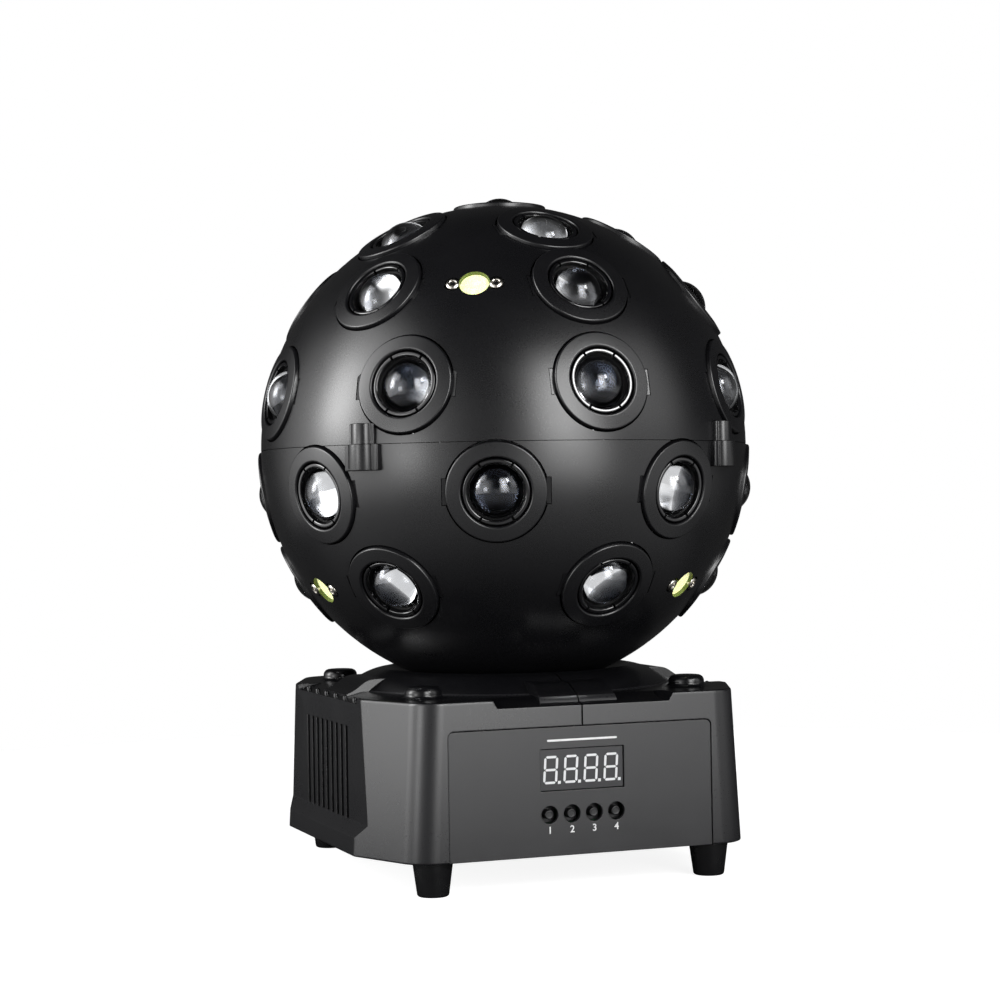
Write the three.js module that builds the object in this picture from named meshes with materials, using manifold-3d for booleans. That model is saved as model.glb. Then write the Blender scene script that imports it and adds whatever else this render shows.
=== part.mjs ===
import * as THREE from 'three';
import { ConvexHull } from 'three/addons/math/ConvexHull.js';
import { mergeVertices } from 'three/addons/utils/BufferGeometryUtils.js';
import Module from 'manifold-3d';

// Magic ball light: a ball studded with lenses that turns on a low base.
// Millimetres, +Z up, the control panel faces -Y, the origin is on the floor under the ball.

// Gaps and overruns
const gap = 0.3;
const overrun = 5;

// Ball shells
const ball_radius = 90;
const ball_clearance = 2.2;
const shell_wall = 2.5;
const seam_sides = 36;
const skin_rows = 7;
const skin_spacing = 16;
const skin_margin = 4;

// Lens bezels, measured out from the ball's surface; the closest two are a clearance apart
const bezel_clearance = 0.257;
const bezel_height = 1.3;
const bezel_sides = 12;
const lens_bore_radius = 11.6;

// Lenses
const lens_radius = 8.2;
const lens_dome_radius = 9.4;
const lens_height = 3.2;
const lens_seat_depth = 1.4;
const lens_ring_thickness = 2;
const lens_sides = 10;

// Lens rows: how many, their height on the ball and their turn from the front, in degrees
const upper_turn_angle = 2;
const lower_turn_angle = -22.4;
const stagger_angle = 30;
const upper_rows = [
  { row: 'a', count: 8, elevation: 13, turn: upper_turn_angle },
  { row: 'b', count: 6, elevation: 37.4, turn: upper_turn_angle },
  { row: 'c', count: 5, elevation: 59.3, turn: 0 },
  { row: 'top', count: 1, elevation: 90, turn: 0 },
];
const lower_rows = [
  { row: 'd', count: 8, elevation: -11.15, turn: lower_turn_angle },
  { row: 'e', count: 6, elevation: -33.8, turn: lower_turn_angle + stagger_angle },
];

// Strobe lamps: three above the seam and three below
const strobe_count = 3;
const upper_strobes = { count: strobe_count, elevation: 37.6, turn: upper_turn_angle - stagger_angle };
const lower_strobes = { count: strobe_count, elevation: -34.4, turn: lower_turn_angle - 2 * stagger_angle };
const strobe_radius = 5.2;
const strobe_depth = 1.4;
const strobe_slot_width = 4.4;
const strobe_screw_spacing = 15;
const strobe_screw_radius = 1.9;
const strobe_screw_height = 0.9;
const strobe_sides = 10;

// Screw bosses on the seam: half-round posts on flat pads
const boss_count = 4;
const boss_turn = -52;
const boss_sides = 8;
const lower_boss = { radius: 4.7, pad_width: 12.6, height: 9, pad_proud: 1.6 };
const upper_boss = { radius: 3.8, pad_width: 10, height: 7.1, pad_proud: 1.2 };
const boss_screw_radius = 2.2;
const boss_screw_depth = 4;

// Base: outline at the floor end, narrower in X at the deck
const foot_height = 11.9;
const base_height = 54.2;
const half_width = 73.5;
const side_draft = 3.4;
const half_depth = 72.3;
const side_half_length = 41.8;
const corner_half_width = 60.1;
const corner_radius = 12;
const corner_steps = 4;
const deck_bevel = 0.8;
const cover_wall = 2.2;

// Deck: ring round the ball, ribs, corner caps and lowered edges
const ring_radius = 63;
const ring_crest_radius = 46;
const crest_width = 1.6;
const ring_height = 6.6;
const ring_sides = 32;
const rib_width = 28;
const rib_margin = 2.4;
const cap_radius = 6.65;
const cap_top_radius = 5;
const cap_height = 4.1;
const cap_sides = 16;
const cap_place = 50;
const front_notch_depth = 3;
const front_notch_half_width = 31;
const side_notch_depth = 2.1;
const side_notch_half_width = 38;
const notch_slope = 3.6;
const notch_run = 9;
const spindle_hole_radius = 14;

// Profiles of the ring and of its ribs: shares of the run outwards and of the height
const skirt_shares = [[0.8, 0.24], [0.55, 0.6], [0.25, 0.88]];
const rib_shares = [[1, 0.22], [0.88, 0.33], [0.75, 0.56], [0.585, 0.77], [0.33, 0.92]];

// Vent slits in the two sides
const slit_count = 9;
const slit_width = 3;
const slit_pitch = 6.1;
const slit_bottom = 22.9;
const slit_top = 55.5;
const ledge_drop = 5.2;

// Steel chassis with the control panel at the front and the sockets at the back
const sheet = 1.5;
const panel_half_width = 48.8;
const panel_height = 44;
const panel_recess = 0.5;
const panel_corner = 2;

// Display and control board
const window_width = 31.1;
const window_height = 14.4;
const window_middle = 41.3;
const display_depth = 7.2;
const display_recess = 0.8;
const board_width = 74;
const board_height = 36;
const board_thickness = 1.6;
const board_middle = 35;
const spacer_radius = 2.5;
const spacer_margin = 4;
const spacer_sides = 8;

// Push buttons and the switches behind them
const button_count = 4;
const button_pitch = 8.25;
const button_z = 26.05;
const button_hole_radius = 3.07;
const button_radius = 1.6;
const button_travel = 0.3;
const button_recess = 0.5;
const button_sides = 12;
const switch_width = 6;
const switch_depth = 3.5;

// Feet
const foot_radius = 6.9;
const foot_tip_radius = 5.4;
const foot_bevel = 0.8;
const foot_x = 51.7;
const foot_y = 62.4;
const foot_sides = 16;

// Drive: bracket, bearing, spindle, belt and pan motor
const bracket_rise = 30.6;
const bracket_depth = 54;
const bracket_inset = 1;
const bracket_board_gap = 5;
const bracket_sheet = 2;
const bracket_foot = 9;
const spindle_radius = 6;
const spindle_bore_radius = 3.5;
const spindle_tail = 12;
const hub_radius = 20;
const hub_thickness = 3;
const hub_pad = 5.2;
const bearing_wall = 4.5;
const bearing_flange = 3.5;
const bearing_flange_thickness = 2;
const bearing_depth = 10;
const drive_sides = 16;
const pulley_spread = 10;
const motor_pulley_radius = 8;
const pulley_lip = 2.5;
const pulley_lip_thickness = 1.2;
const belt_width = 5;
const belt_thickness = 1.5;
const belt_steps = 12;
const motor_place_share = 0.6711;
const motor_width = 42;
const motor_height = 27;
const motor_corner = 5;
const motor_boss_radius = 11;
const motor_boss_height = 1.6;
const shaft_radius = 2.5;
const shaft_depth = 6;

// Slip ring under the spindle
const slip_ring_radius = 11;
const slip_ring_flange = 5;
const slip_ring_flange_thickness = 2;
const slip_ring_sides = 12;

// Lamp core inside the ball
const lamp_post_radius = 8;
const lamp_sides = 6;
const lamp_radius = 24;
const lamp_height = 52;
const emitter_width = 14;
const emitter_thickness = 2;
const fin_count = 3;
const fin_depth = 3;
const fin_gap = 2.5;

// Power board
const power_board_width = 36;
const power_board_length = 84;
const power_board_margin = 4.9;
const power_board_rise = 5;
const transformer = { width: 22, length: 26, height: 19, place_share: 0.22 };
const capacitor = { radius: 6.5, height: 18, place_share: -0.2 };

// Mains inlet and data sockets in the back
const socket_middle = 36;
const inlet = {
  width: 27, height: 19.8, depth: 24, lip: 2, lip_thickness: 1.5, wall: 1.7, cavity_depth: 16,
  blade_width: 2, blade_height: 4, blade_length: 10.5, blade_spread: 7, blade_rise: 2,
};
const data_socket = {
  place: 31, width: 26, height: 31, plate: 1.6, barrel_radius: 10.5, depth: 20, sides: 12,
  mouth_radius: 8, mouth_depth: 14, pin_radius: 1.2, pin_length: 9, pin_circle: 4.5,
  insert_radius: 7.4, insert_length: 12, hole_radius: 1.5, hole_depth: 8, corner: 3,
};

// Places that follow from the sizes above
const deck_z = foot_height + base_height;
const ring_top_z = deck_z + ring_height;
const dish_radius = ball_radius + ball_clearance;
const crest_edge = ring_crest_radius - crest_width;
const ball_z = ring_top_z + Math.sqrt(dish_radius ** 2 - crest_edge ** 2);
const half_width_top = half_width - side_draft;
const side_taper = half_width_top / half_width;
const inner_half_width = half_width_top - cover_wall;
const motor_room = inner_half_width - slip_ring_radius - motor_width;
const motor_offset = slip_ring_radius + motor_width / 2 + motor_room * motor_place_share;
const driven_pulley_radius = motor_offset - motor_pulley_radius - pulley_spread;
const power_board_x = inner_half_width - power_board_margin - power_board_width / 2;
const bracket_right = power_board_x - power_board_width / 2 - bracket_board_gap;
const bracket_left = motor_offset + motor_width / 2 - bracket_inset;
const bracket_length = bracket_left + bracket_right;
const bracket_middle = (bracket_right - bracket_left) / 2;
const panel_face = half_depth - panel_recess;
const panel_top = foot_height + panel_height;
const floor_z = foot_height + sheet;
const board_face = panel_face - display_recess - display_depth;
const bracket_top = floor_z + gap + bracket_rise + bracket_sheet;
const bearing_radius = spindle_radius + gap + bearing_wall;
const bearing_top = bracket_top + gap + bearing_flange_thickness;
const pulley_z = bearing_top + gap;
const pulley_height = belt_width + 2 * gap + 2 * pulley_lip_thickness;
const belt_z = pulley_z + pulley_lip_thickness + gap;
const hub_z = ball_z - ball_radius + hub_pad + gap;
const spindle_bottom = bracket_top - bracket_sheet - spindle_tail;
const boss_pitch = (2 * Math.PI) / boss_count;

const wasm = await Module();
wasm.setup();

const radians = THREE.MathUtils.degToRad;

// A closed solid from a geometry: its faces are turned to point out
function solid(geometry) {
  const bare = new THREE.BufferGeometry();
  bare.setAttribute('position', geometry.getAttribute('position').clone());
  bare.setIndex(geometry.getIndex());
  const merged = mergeVertices(bare);
  const points = merged.getAttribute('position').array;
  const index = merged.getIndex().array;
  const corner = (i) => new THREE.Vector3().fromArray(points, 3 * i);
  const faces = [];
  let volume = 0;
  for (let i = 0; i < index.length; i += 3) {
    const [a, b, c] = [index[i], index[i + 1], index[i + 2]];
    if (a !== b && b !== c && c !== a) {
      faces.push([a, b, c]);
      volume += corner(a).dot(corner(b).cross(corner(c)));
    }
  }
  const turned = volume < 0 ? faces.map(([a, b, c]) => [a, c, b]) : faces;
  const data = { numProp: 3, vertProperties: points, triVerts: Uint32Array.from(turned.flat()) };
  return new wasm.Manifold(new wasm.Mesh(data));
}

// The geometry of a finished solid
function geometryOf(body) {
  const data = body.getMesh();
  const geometry = new THREE.BufferGeometry();
  geometry.setAttribute('position', new THREE.BufferAttribute(data.vertProperties, 3));
  geometry.setIndex(new THREE.BufferAttribute(data.triVerts, 1));
  geometry.computeVertexNormals();
  return geometry;
}

const join = (bodies) => bodies.reduce((whole, body) => whole.add(body));
const cut = (body, tools) => tools.reduce((left, tool) => left.subtract(tool), body);

// A turned solid about Z from [radius, height] points that run from axis to axis
function turned(profile, sides) {
  const points = profile.map(([radius, height]) => new THREE.Vector2(radius, height));
  return new THREE.LatheGeometry(points, sides).rotateX(Math.PI / 2);
}

function rod(radius, bottom, top, sides, tip_radius = radius) {
  return turned([[0, bottom], [radius, bottom], [tip_radius, top], [0, top]], sides);
}

function box(size, middle) {
  return new THREE.BoxGeometry(...size).translate(...middle);
}

// A flat outline raised along Z
function raised(points, bottom, top, holes = []) {
  const shape = new THREE.Shape(points);
  shape.holes = holes.map((hole) => new THREE.Path(hole));
  const settings = { depth: top - bottom, bevelEnabled: false, curveSegments: 1 };
  return new THREE.ExtrudeGeometry(shape, settings).translate(0, 0, bottom);
}

// A raised outline laid along X: its points are (y, z)
function along_x(points, start, end) {
  return raised(points, start, end).rotateY(Math.PI / 2).rotateX(Math.PI / 2);
}

// A raised outline laid along Y: its points are (x, z)
function along_y(points, start, end) {
  return raised(points, -end, -start).rotateX(Math.PI / 2);
}

const vectors = (pairs) => pairs.map(([x, y]) => new THREE.Vector2(x, y));

function circle(radius, sides, x = 0, y = 0) {
  return Array.from({ length: sides }, (_, i) => {
    const turn = (2 * Math.PI * i) / sides;
    return new THREE.Vector2(x + radius * Math.cos(turn), y + radius * Math.sin(turn));
  });
}

// Moves every edge of a convex outline inwards
function inset(points, distance) {
  return points.map((point, i) => {
    const before = points[(i + points.length - 1) % points.length];
    const after = points[(i + 1) % points.length];
    const arriving = point.clone().sub(before).normalize();
    const leaving = after.clone().sub(point).normalize();
    const bisector = new THREE.Vector2(-arriving.y - leaving.y, arriving.x + leaving.x);
    const scale = distance / (1 + arriving.dot(leaving));
    return point.clone().addScaledVector(bisector, scale);
  });
}

// Rounds one corner of an outline with a short arc
function rounded(before, point, after, radius, steps) {
  const to_before = before.clone().sub(point).normalize();
  const to_after = after.clone().sub(point).normalize();
  const half = Math.acos(to_before.dot(to_after)) / 2;
  const start = point.clone().addScaledVector(to_before, radius / Math.tan(half));
  const end = point.clone().addScaledVector(to_after, radius / Math.tan(half));
  const middle = to_before.add(to_after).normalize();
  const centre = point.clone().addScaledVector(middle, radius / Math.sin(half));
  const first = start.clone().sub(centre);
  const sweep = Math.PI - 2 * half;
  const hand = Math.sign(first.cross(end.clone().sub(centre)));
  return Array.from({ length: steps + 1 }, (_, i) => {
    const turn = (hand * sweep * i) / steps;
    return first.clone().rotateAround(new THREE.Vector2(), turn).add(centre);
  });
}

// The base's outline, eight-cornered with the four front and back corners rounded
function base_outline(inwards) {
  const quarter = [[half_width, side_half_length], [corner_half_width, half_depth]];
  const mirrored = ([x, y], sx, sy) => new THREE.Vector2(sx * x, sy * y);
  const [side, corner] = quarter;
  const sharp = [
    mirrored(side, 1, -1), mirrored(side, 1, 1), mirrored(corner, 1, 1), mirrored(corner, -1, 1),
    mirrored(side, -1, 1), mirrored(side, -1, -1), mirrored(corner, -1, -1), mirrored(corner, 1, -1),
  ];
  const moved = inset(sharp, inwards);
  const radius = corner_radius - inwards;
  return moved.flatMap((point, i) => {
    const at_side = i % 4 < 2;
    if (at_side) {
      return [point];
    }
    const before = moved[(i + moved.length - 1) % moved.length];
    const after = moved[(i + 1) % moved.length];
    return rounded(before, point, after, radius, corner_steps);
  });
}

// A solid through a stack of outlines, all with the same number of points
function lofted(sections) {
  const count = sections[0].points.length;
  const flat = sections.flatMap(({ points, z }) => points.flatMap((point) => [point.x, point.y, z]));
  const index = [];
  for (let level = 1; level < sections.length; level += 1) {
    for (let i = 0; i < count; i += 1) {
      const next = (i + 1) % count;
      const low = (level - 1) * count;
      const high = level * count;
      index.push(low + i, low + next, high + next, low + i, high + next, high + i);
    }
  }
  const last = (sections.length - 1) * count;
  for (let i = 1; i < count - 1; i += 1) {
    index.push(0, i + 1, i, last, last + i, last + i + 1);
  }
  const geometry = new THREE.BufferGeometry();
  geometry.setAttribute('position', new THREE.Float32BufferAttribute(flat, 3));
  geometry.setIndex(index);
  return geometry;
}

// The base's outline at a height, narrower towards the deck
function base_section(z, inwards) {
  const rise = Math.max(0, z - foot_height) / base_height;
  const scale = 1 + (side_taper - 1) * rise;
  const points = base_outline(inwards).map((point) => new THREE.Vector2(point.x * scale, point.y));
  return { points, z };
}

// Direction on the ball from a turn round Z, zero at the front, and an elevation
function direction(turn, elevation) {
  const flat = Math.cos(radians(elevation));
  const around = radians(turn);
  return new THREE.Vector3(
    Math.sin(around) * flat, -Math.cos(around) * flat, Math.sin(radians(elevation)),
  );
}

// The lens spots that are closest to each other, which set the bezels' size
const closest = [upper_rows[1], upper_rows[2]].map(({ turn, elevation }) => direction(turn, elevation));
const closest_half_angle = closest[0].angleTo(closest[1]) / 2;
const bezel_radius = ball_radius * Math.sin(closest_half_angle) - bezel_clearance / 2;

// A frame on the ball: Z points out, X runs level
function frame_at(turn, elevation) {
  const out = direction(turn, elevation);
  const level = new THREE.Vector3(Math.cos(radians(turn)), Math.sin(radians(turn)), 0);
  const up = out.clone().cross(level);
  return new THREE.Matrix4().makeBasis(level, up, out);
}

function places(rows) {
  return rows.flatMap(({ row, count, elevation, turn }) => (
    Array.from({ length: count }, (_, i) => ({
      row, elevation, number: i + 1, turn: turn + (360 / count) * i,
    }))
  ));
}

const placed = (geometry, spot) => solid(geometry.clone().applyMatrix4(frame_at(spot.turn, spot.elevation)));

// How far out along a lens axis the ball's surface or a raised face lies at a radius
const height_on = (radius, from_axis) => Math.sqrt(radius ** 2 - from_axis ** 2);

// Points on a circle round a spot's axis, at a height from the middle of the ball
function ring_round({ turn, elevation }, radius, height) {
  const frame = frame_at(turn, elevation);
  return circle(radius, bezel_sides).map(({ x, y }) => new THREE.Vector3(x, y, height).applyMatrix4(frame));
}

// Spots that fill the skin of one half between the lenses, clear of the bezels and the seam
function filling_spots(up, lens_spots) {
  const clear_angle = Math.asin(bezel_radius / ball_radius) + skin_margin / ball_radius;
  const rows = Array.from({ length: skin_rows }, (_, i) => ((i + 1) / skin_rows) * 90);
  const spots = rows.flatMap((row) => {
    const around = 2 * Math.PI * ball_radius * Math.cos(radians(row));
    const count = Math.max(1, Math.round(around / skin_spacing));
    return Array.from({ length: count }, (_, i) => ({ turn: (360 / count) * i, elevation: up * row }));
  });
  return spots.filter((spot) => lens_spots.every((lens_spot) => (
    direction(spot.turn, spot.elevation).angleTo(direction(lens_spot.turn, lens_spot.elevation)) > clear_angle
  )));
}

// The skin of one half of the ball: the seam, one ring round each lens and triangles between them
function half_skin(up, radius, ring_radius, lens_spots) {
  const seam = circle(height_on(radius, gap / 2), seam_sides);
  const seam_points = seam.map(({ x, y }) => new THREE.Vector3(x, y, (up * gap) / 2));
  const ring_height_out = height_on(radius, ring_radius);
  const rings = lens_spots.map((spot) => ring_round(spot, ring_radius, ring_height_out));
  const filling = filling_spots(up, lens_spots).map(({ turn, elevation }) => (
    direction(turn, elevation).multiplyScalar(radius)
  ));
  const points = [...seam_points, ...rings.flat(), ...filling];
  const number = new Map(points.map((point, i) => [point, i]));
  const loop = new Map(points.map((point) => [point, point]));
  [seam_points, ...rings].forEach((ring) => ring.forEach((point) => loop.set(point, ring)));
  const hull = new ConvexHull().setFromPoints(points);
  const corners = hull.faces.map(({ edge }) => [edge, edge.next, edge.prev].map((side) => side.head().point));
  const open = corners.filter(([a, b, c]) => loop.get(a) !== loop.get(b) || loop.get(b) !== loop.get(c));
  return { points, faces: open.map((face) => face.map((point) => number.get(point))) };
}

// Rings of one bezel's domed face: its rim and the top of the lens bore
function bezel_levels() {
  const face = ball_radius + bezel_height;
  return [bezel_radius, lens_bore_radius].map((radius) => [radius, height_on(face, radius)]);
}

// Triangles between two rings of the same number of points
function band(low, high, count) {
  return Array.from({ length: count }, (_, i) => {
    const next = (i + 1) % count;
    return [[low + i, low + next, high + next], [low + i, high + next, high + i]];
  }).flat();
}

// Half a ball shell with its bezels: outer skin, inner skin, the seam face and the bored bezels
function shell_with_bezels(up, lens_spots) {
  const outer = half_skin(up, ball_radius, bezel_radius, lens_spots);
  const inner = half_skin(up, ball_radius - shell_wall, lens_bore_radius, lens_spots);
  const points = [...outer.points, ...inner.points];
  const inner_start = outer.points.length;
  const turned_in = inner.faces.map(([a, b, c]) => [inner_start + a, inner_start + c, inner_start + b]);
  const seam = up > 0 ? [inner_start, 0] : [0, inner_start];
  const faces = [...outer.faces, ...turned_in, ...band(...seam, seam_sides)];
  lens_spots.forEach((spot, i) => {
    const foot_start = seam_sides + i * bezel_sides;
    const levels = bezel_levels().map(([radius, height]) => {
      const start = points.length;
      points.push(...ring_round(spot, radius, height));
      return start;
    });
    const starts = [foot_start, ...levels, inner_start + foot_start];
    for (let level = 1; level < starts.length; level += 1) {
      faces.push(...band(starts[level - 1], starts[level], bezel_sides));
    }
  });
  const geometry = new THREE.BufferGeometry();
  const flat = points.flatMap((point) => point.toArray());
  geometry.setAttribute('position', new THREE.Float32BufferAttribute(flat, 3));
  geometry.setIndex(faces.flat());
  return solid(geometry);
}

// A strobe's recess: a round well with a slot across it for the two screws
function strobe_recess() {
  const bottom = ball_radius - strobe_depth;
  const length = strobe_screw_spacing + strobe_slot_width;
  const well = solid(rod(strobe_radius, bottom, ball_radius + overrun, strobe_sides));
  const height = strobe_depth + overrun;
  const slot = solid(box([length, strobe_slot_width, height], [0, 0, bottom + height / 2]));
  return geometryOf(well.add(slot));
}

function strobe_screw(side) {
  const bottom = ball_radius - shell_wall + strobe_screw_height / 2;
  const top = ball_radius - strobe_depth + strobe_screw_height;
  return rod(strobe_screw_radius, bottom, top, boss_sides).translate((side * strobe_screw_spacing) / 2, 0, 0);
}

// A seam boss: a half-round post on a pad, standing on the seam, with room for its screw
function seam_boss({ radius, pad_width, height, pad_proud }, up) {
  const from = up > 0 ? gap / 2 : -height;
  const to = up > 0 ? height : -gap / 2;
  const inner = ball_radius - shell_wall / 2;
  const outer = ball_radius + pad_proud;
  const pad_size = [pad_width, outer - inner, to - from];
  const pad = solid(box(pad_size, [0, -(inner + outer) / 2, (from + to) / 2]));
  const post = solid(rod(radius, from, to, boss_sides).translate(0, -outer + pad_proud / 2, 0));
  return join([pad, post]);
}

function seam_boss_screw_hole() {
  const bottom = -lower_boss.height - gap;
  const top = -lower_boss.height + boss_screw_depth;
  const middle = ball_radius + lower_boss.pad_proud / 2;
  return solid(rod(boss_screw_radius, bottom, top, boss_sides).translate(0, -middle, 0));
}

const boss_spots = Array.from({ length: boss_count }, (_, i) => (
  radians(boss_turn) + boss_pitch * i
));

const spun = (body, turn) => body.rotate([0, 0, THREE.MathUtils.radToDeg(turn)]);

// Half a ball shell with its bezels, strobe recesses and seam bosses
function ball_half(up, rows, strobes, boss) {
  const shell = shell_with_bezels(up, places(rows));
  const bosses = boss_spots.map((turn) => spun(seam_boss(boss, up), turn));
  const strobe_spots = places([strobes]);
  const recesses = strobe_spots.map((spot) => placed(strobe_recess(), spot));
  const screws = strobe_spots.flatMap((spot) => [-1, 1].map((side) => placed(strobe_screw(side), spot)));
  return join([cut(join([shell, ...bosses]), recesses), ...screws]);
}

function upper_shell() {
  return ball_half(1, upper_rows, upper_strobes, upper_boss);
}

// The lower shell also has the flat pad that the spindle's hub clamps
function lower_shell() {
  const shell = ball_half(-1, lower_rows, lower_strobes, lower_boss);
  const pad_top = -ball_radius + hub_pad;
  const pad = solid(rod(hub_radius, -ball_radius + shell_wall / 2, pad_top, drive_sides));
  const hole_top = pad_top + overrun;
  const hole = solid(rod(spindle_radius + gap, -ball_radius - overrun, hole_top, drive_sides));
  const hub_room = solid(rod(hub_radius, pad_top, -ball_radius / 2, drive_sides));
  const screw_holes = boss_spots.map((turn) => spun(seam_boss_screw_hole(), turn));
  return cut(shell.add(pad), [hole, hub_room, ...screw_holes]);
}

// A domed lens in its snap ring, drawn along Z from the middle of the ball
function lens() {
  const bottom = ball_radius - shell_wall - lens_seat_depth / 2;
  const ring_top = bottom + lens_ring_thickness;
  const apex = ball_radius + lens_height;
  const dome_middle = apex - lens_dome_radius;
  const dome_height = (radius) => dome_middle + height_on(lens_dome_radius, radius);
  const shoulder = lens_radius / 2;
  const ring_edge = lens_bore_radius * Math.cos(Math.PI / bezel_sides) - gap;
  const profile = [
    [0, bottom],
    [ring_edge, bottom],
    [ring_edge, ring_top],
    [lens_radius, dome_height(lens_radius)],
    [shoulder, dome_height(shoulder)],
    [0, apex],
  ];
  return turned(profile, lens_sides);
}

// Base cover before it is split: drafted walls, ring round the ball, ribs and caps
function deck_ring() {
  const crest = ring_crest_radius;
  const skirt = skirt_shares.map(([out, up]) => [crest + (ring_radius - crest) * out, ring_height * up]);
  const profile = [
    [0, -cover_wall / 2], [ring_radius, -cover_wall / 2], [ring_radius, 0], ...skirt,
    [crest, ring_height], [0, ring_height],
  ];
  return solid(turned(profile, ring_sides).translate(0, 0, deck_z));
}

// A rib on the deck, from the ring to the edge of one side
function deck_rib(reach, drop) {
  const crest = ring_crest_radius;
  const run = reach - crest;
  const shares = rib_shares.map(([out, up]) => [crest + run * out, up * (ring_height + drop) - drop]);
  const points = [[crest / 2, -drop - cover_wall / 2], [reach, -drop - cover_wall / 2], ...shares];
  const profile = vectors([...points, [crest, ring_height], [crest / 2, ring_height]]);
  return along_x(profile, -rib_width / 2, rib_width / 2).translate(0, 0, deck_z);
}

function corner_cap(sx, sy) {
  const profile = [
    [0, -cover_wall / 2], [cap_radius, -cover_wall / 2], [cap_radius, 0],
    [cap_top_radius, cap_height], [0, cap_height],
  ];
  return solid(turned(profile, cap_sides).translate(sx * cap_place, sy * cap_place, deck_z));
}

// Lowered stretch of the deck's edge, with sloped ends
function notch(half_length, depth, edge) {
  const top = ring_height + overrun;
  const points = vectors([
    [-half_length, -depth], [half_length, -depth], [half_length + notch_slope, 0],
    [half_length + notch_slope, top], [-half_length - notch_slope, top], [-half_length - notch_slope, 0],
  ]);
  return along_y(points, -edge - overrun, -edge + notch_run).translate(0, 0, deck_z);
}

const quarter_turn = (geometry, turns) => geometry.rotateZ((turns * Math.PI) / 2);

// Flat recess over the vent slits, with a sloped ledge below it, or the wall behind it
function side_recess(wall) {
  const outer = half_width + overrun;
  const inner = half_width_top - wall;
  const ledge_top = slit_bottom - wall;
  const ledge_end = ledge_top - ledge_drop;
  const points = vectors([
    [inner, ledge_top], [half_width - wall, ledge_end], [outer, ledge_end],
    [outer, deck_z + overrun], [inner, deck_z + overrun],
  ]);
  return along_y(points, -half_depth, half_depth);
}

function side_slits() {
  const depth = cover_wall + half_width - half_width_top + 2 * overrun;
  const height = slit_top - slit_bottom;
  return Array.from({ length: slit_count }, (_, i) => {
    const y = (i - (slit_count - 1) / 2) * slit_pitch;
    return box([depth, slit_width, height], [half_width_top, y, slit_bottom + height / 2]);
  });
}

function panel_window(clearance) {
  const half = panel_half_width + clearance;
  const top = panel_top + clearance;
  const bottom = foot_height - (clearance > 0 ? overrun : 0);
  const low = [new THREE.Vector2(-half, bottom), new THREE.Vector2(half, bottom)];
  const high = [new THREE.Vector2(half, top), new THREE.Vector2(-half, top)];
  const right = rounded(low[1], high[0], high[1], panel_corner, 2);
  const left = rounded(high[0], high[1], low[0], panel_corner, 2);
  return [...low, ...right, ...left];
}

function whole_cover() {
  const bevel_z = deck_z - deck_bevel;
  const skin = lofted([
    base_section(foot_height, 0), base_section(bevel_z, 0), base_section(deck_z, deck_bevel),
  ]);
  const notches = [0, 1, 2, 3].map((turns) => {
    const sideways = turns % 2;
    const edge = sideways ? half_width_top : half_depth;
    const half_length = sideways ? side_notch_half_width : front_notch_half_width;
    const depth = sideways ? side_notch_depth : front_notch_depth;
    return solid(quarter_turn(notch(half_length, depth, edge), turns));
  });
  const ribs = [0, 1, 2, 3].map((turns) => {
    const sideways = turns % 2;
    const reach = (sideways ? half_width_top : half_depth) - rib_margin;
    const drop = sideways ? side_notch_depth : front_notch_depth;
    return solid(quarter_turn(deck_rib(reach, drop).rotateZ(Math.PI), turns));
  });
  const caps = [[-1, -1], [1, -1], [1, 1], [-1, 1]].map(([sx, sy]) => corner_cap(sx, sy));
  const raised_deck = join([cut(solid(skin), notches), deck_ring(), ...ribs, ...caps]);
  const cavity = lofted([
    base_section(foot_height - overrun, cover_wall), base_section(foot_height, cover_wall),
    base_section(deck_z - cover_wall - front_notch_depth, cover_wall),
  ]);
  const ball_room = (radius) => {
    const sphere = new THREE.SphereGeometry(radius, ring_sides, ring_sides / 2);
    return solid(sphere.rotateX(Math.PI / 2).translate(0, 0, ball_z));
  };
  const recess_wall = solid(side_recess(cover_wall));
  const not_hollow = [ball_room(dish_radius + cover_wall), recess_wall, recess_wall.mirror([1, 0, 0])];
  const hollow = cut(solid(cavity), not_hollow);
  const hole = solid(rod(spindle_hole_radius, 0, deck_z, drive_sides));
  const recess = solid(side_recess(0));
  const slits = side_slits().map(solid);
  const side_cuts = [recess, ...slits];
  const other_cuts = side_cuts.map((tool) => tool.mirror([1, 0, 0]));
  const front = solid(along_y(panel_window(gap), -half_depth - overrun, -half_depth + cover_wall + overrun));
  const back = front.mirror([0, 1, 0]);
  const tools = [hollow, ball_room(dish_radius), hole, ...side_cuts, ...other_cuts, front, back];
  return cut(raised_deck, tools);
}

function cover_half(whole, side) {
  const size = [half_width + overrun, 2 * (half_depth + overrun), ring_top_z + overrun];
  const middle = side * (size[0] / 2 + gap / 2);
  return whole.intersect(solid(box(size, [middle, 0, size[2] / 2])));
}

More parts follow.
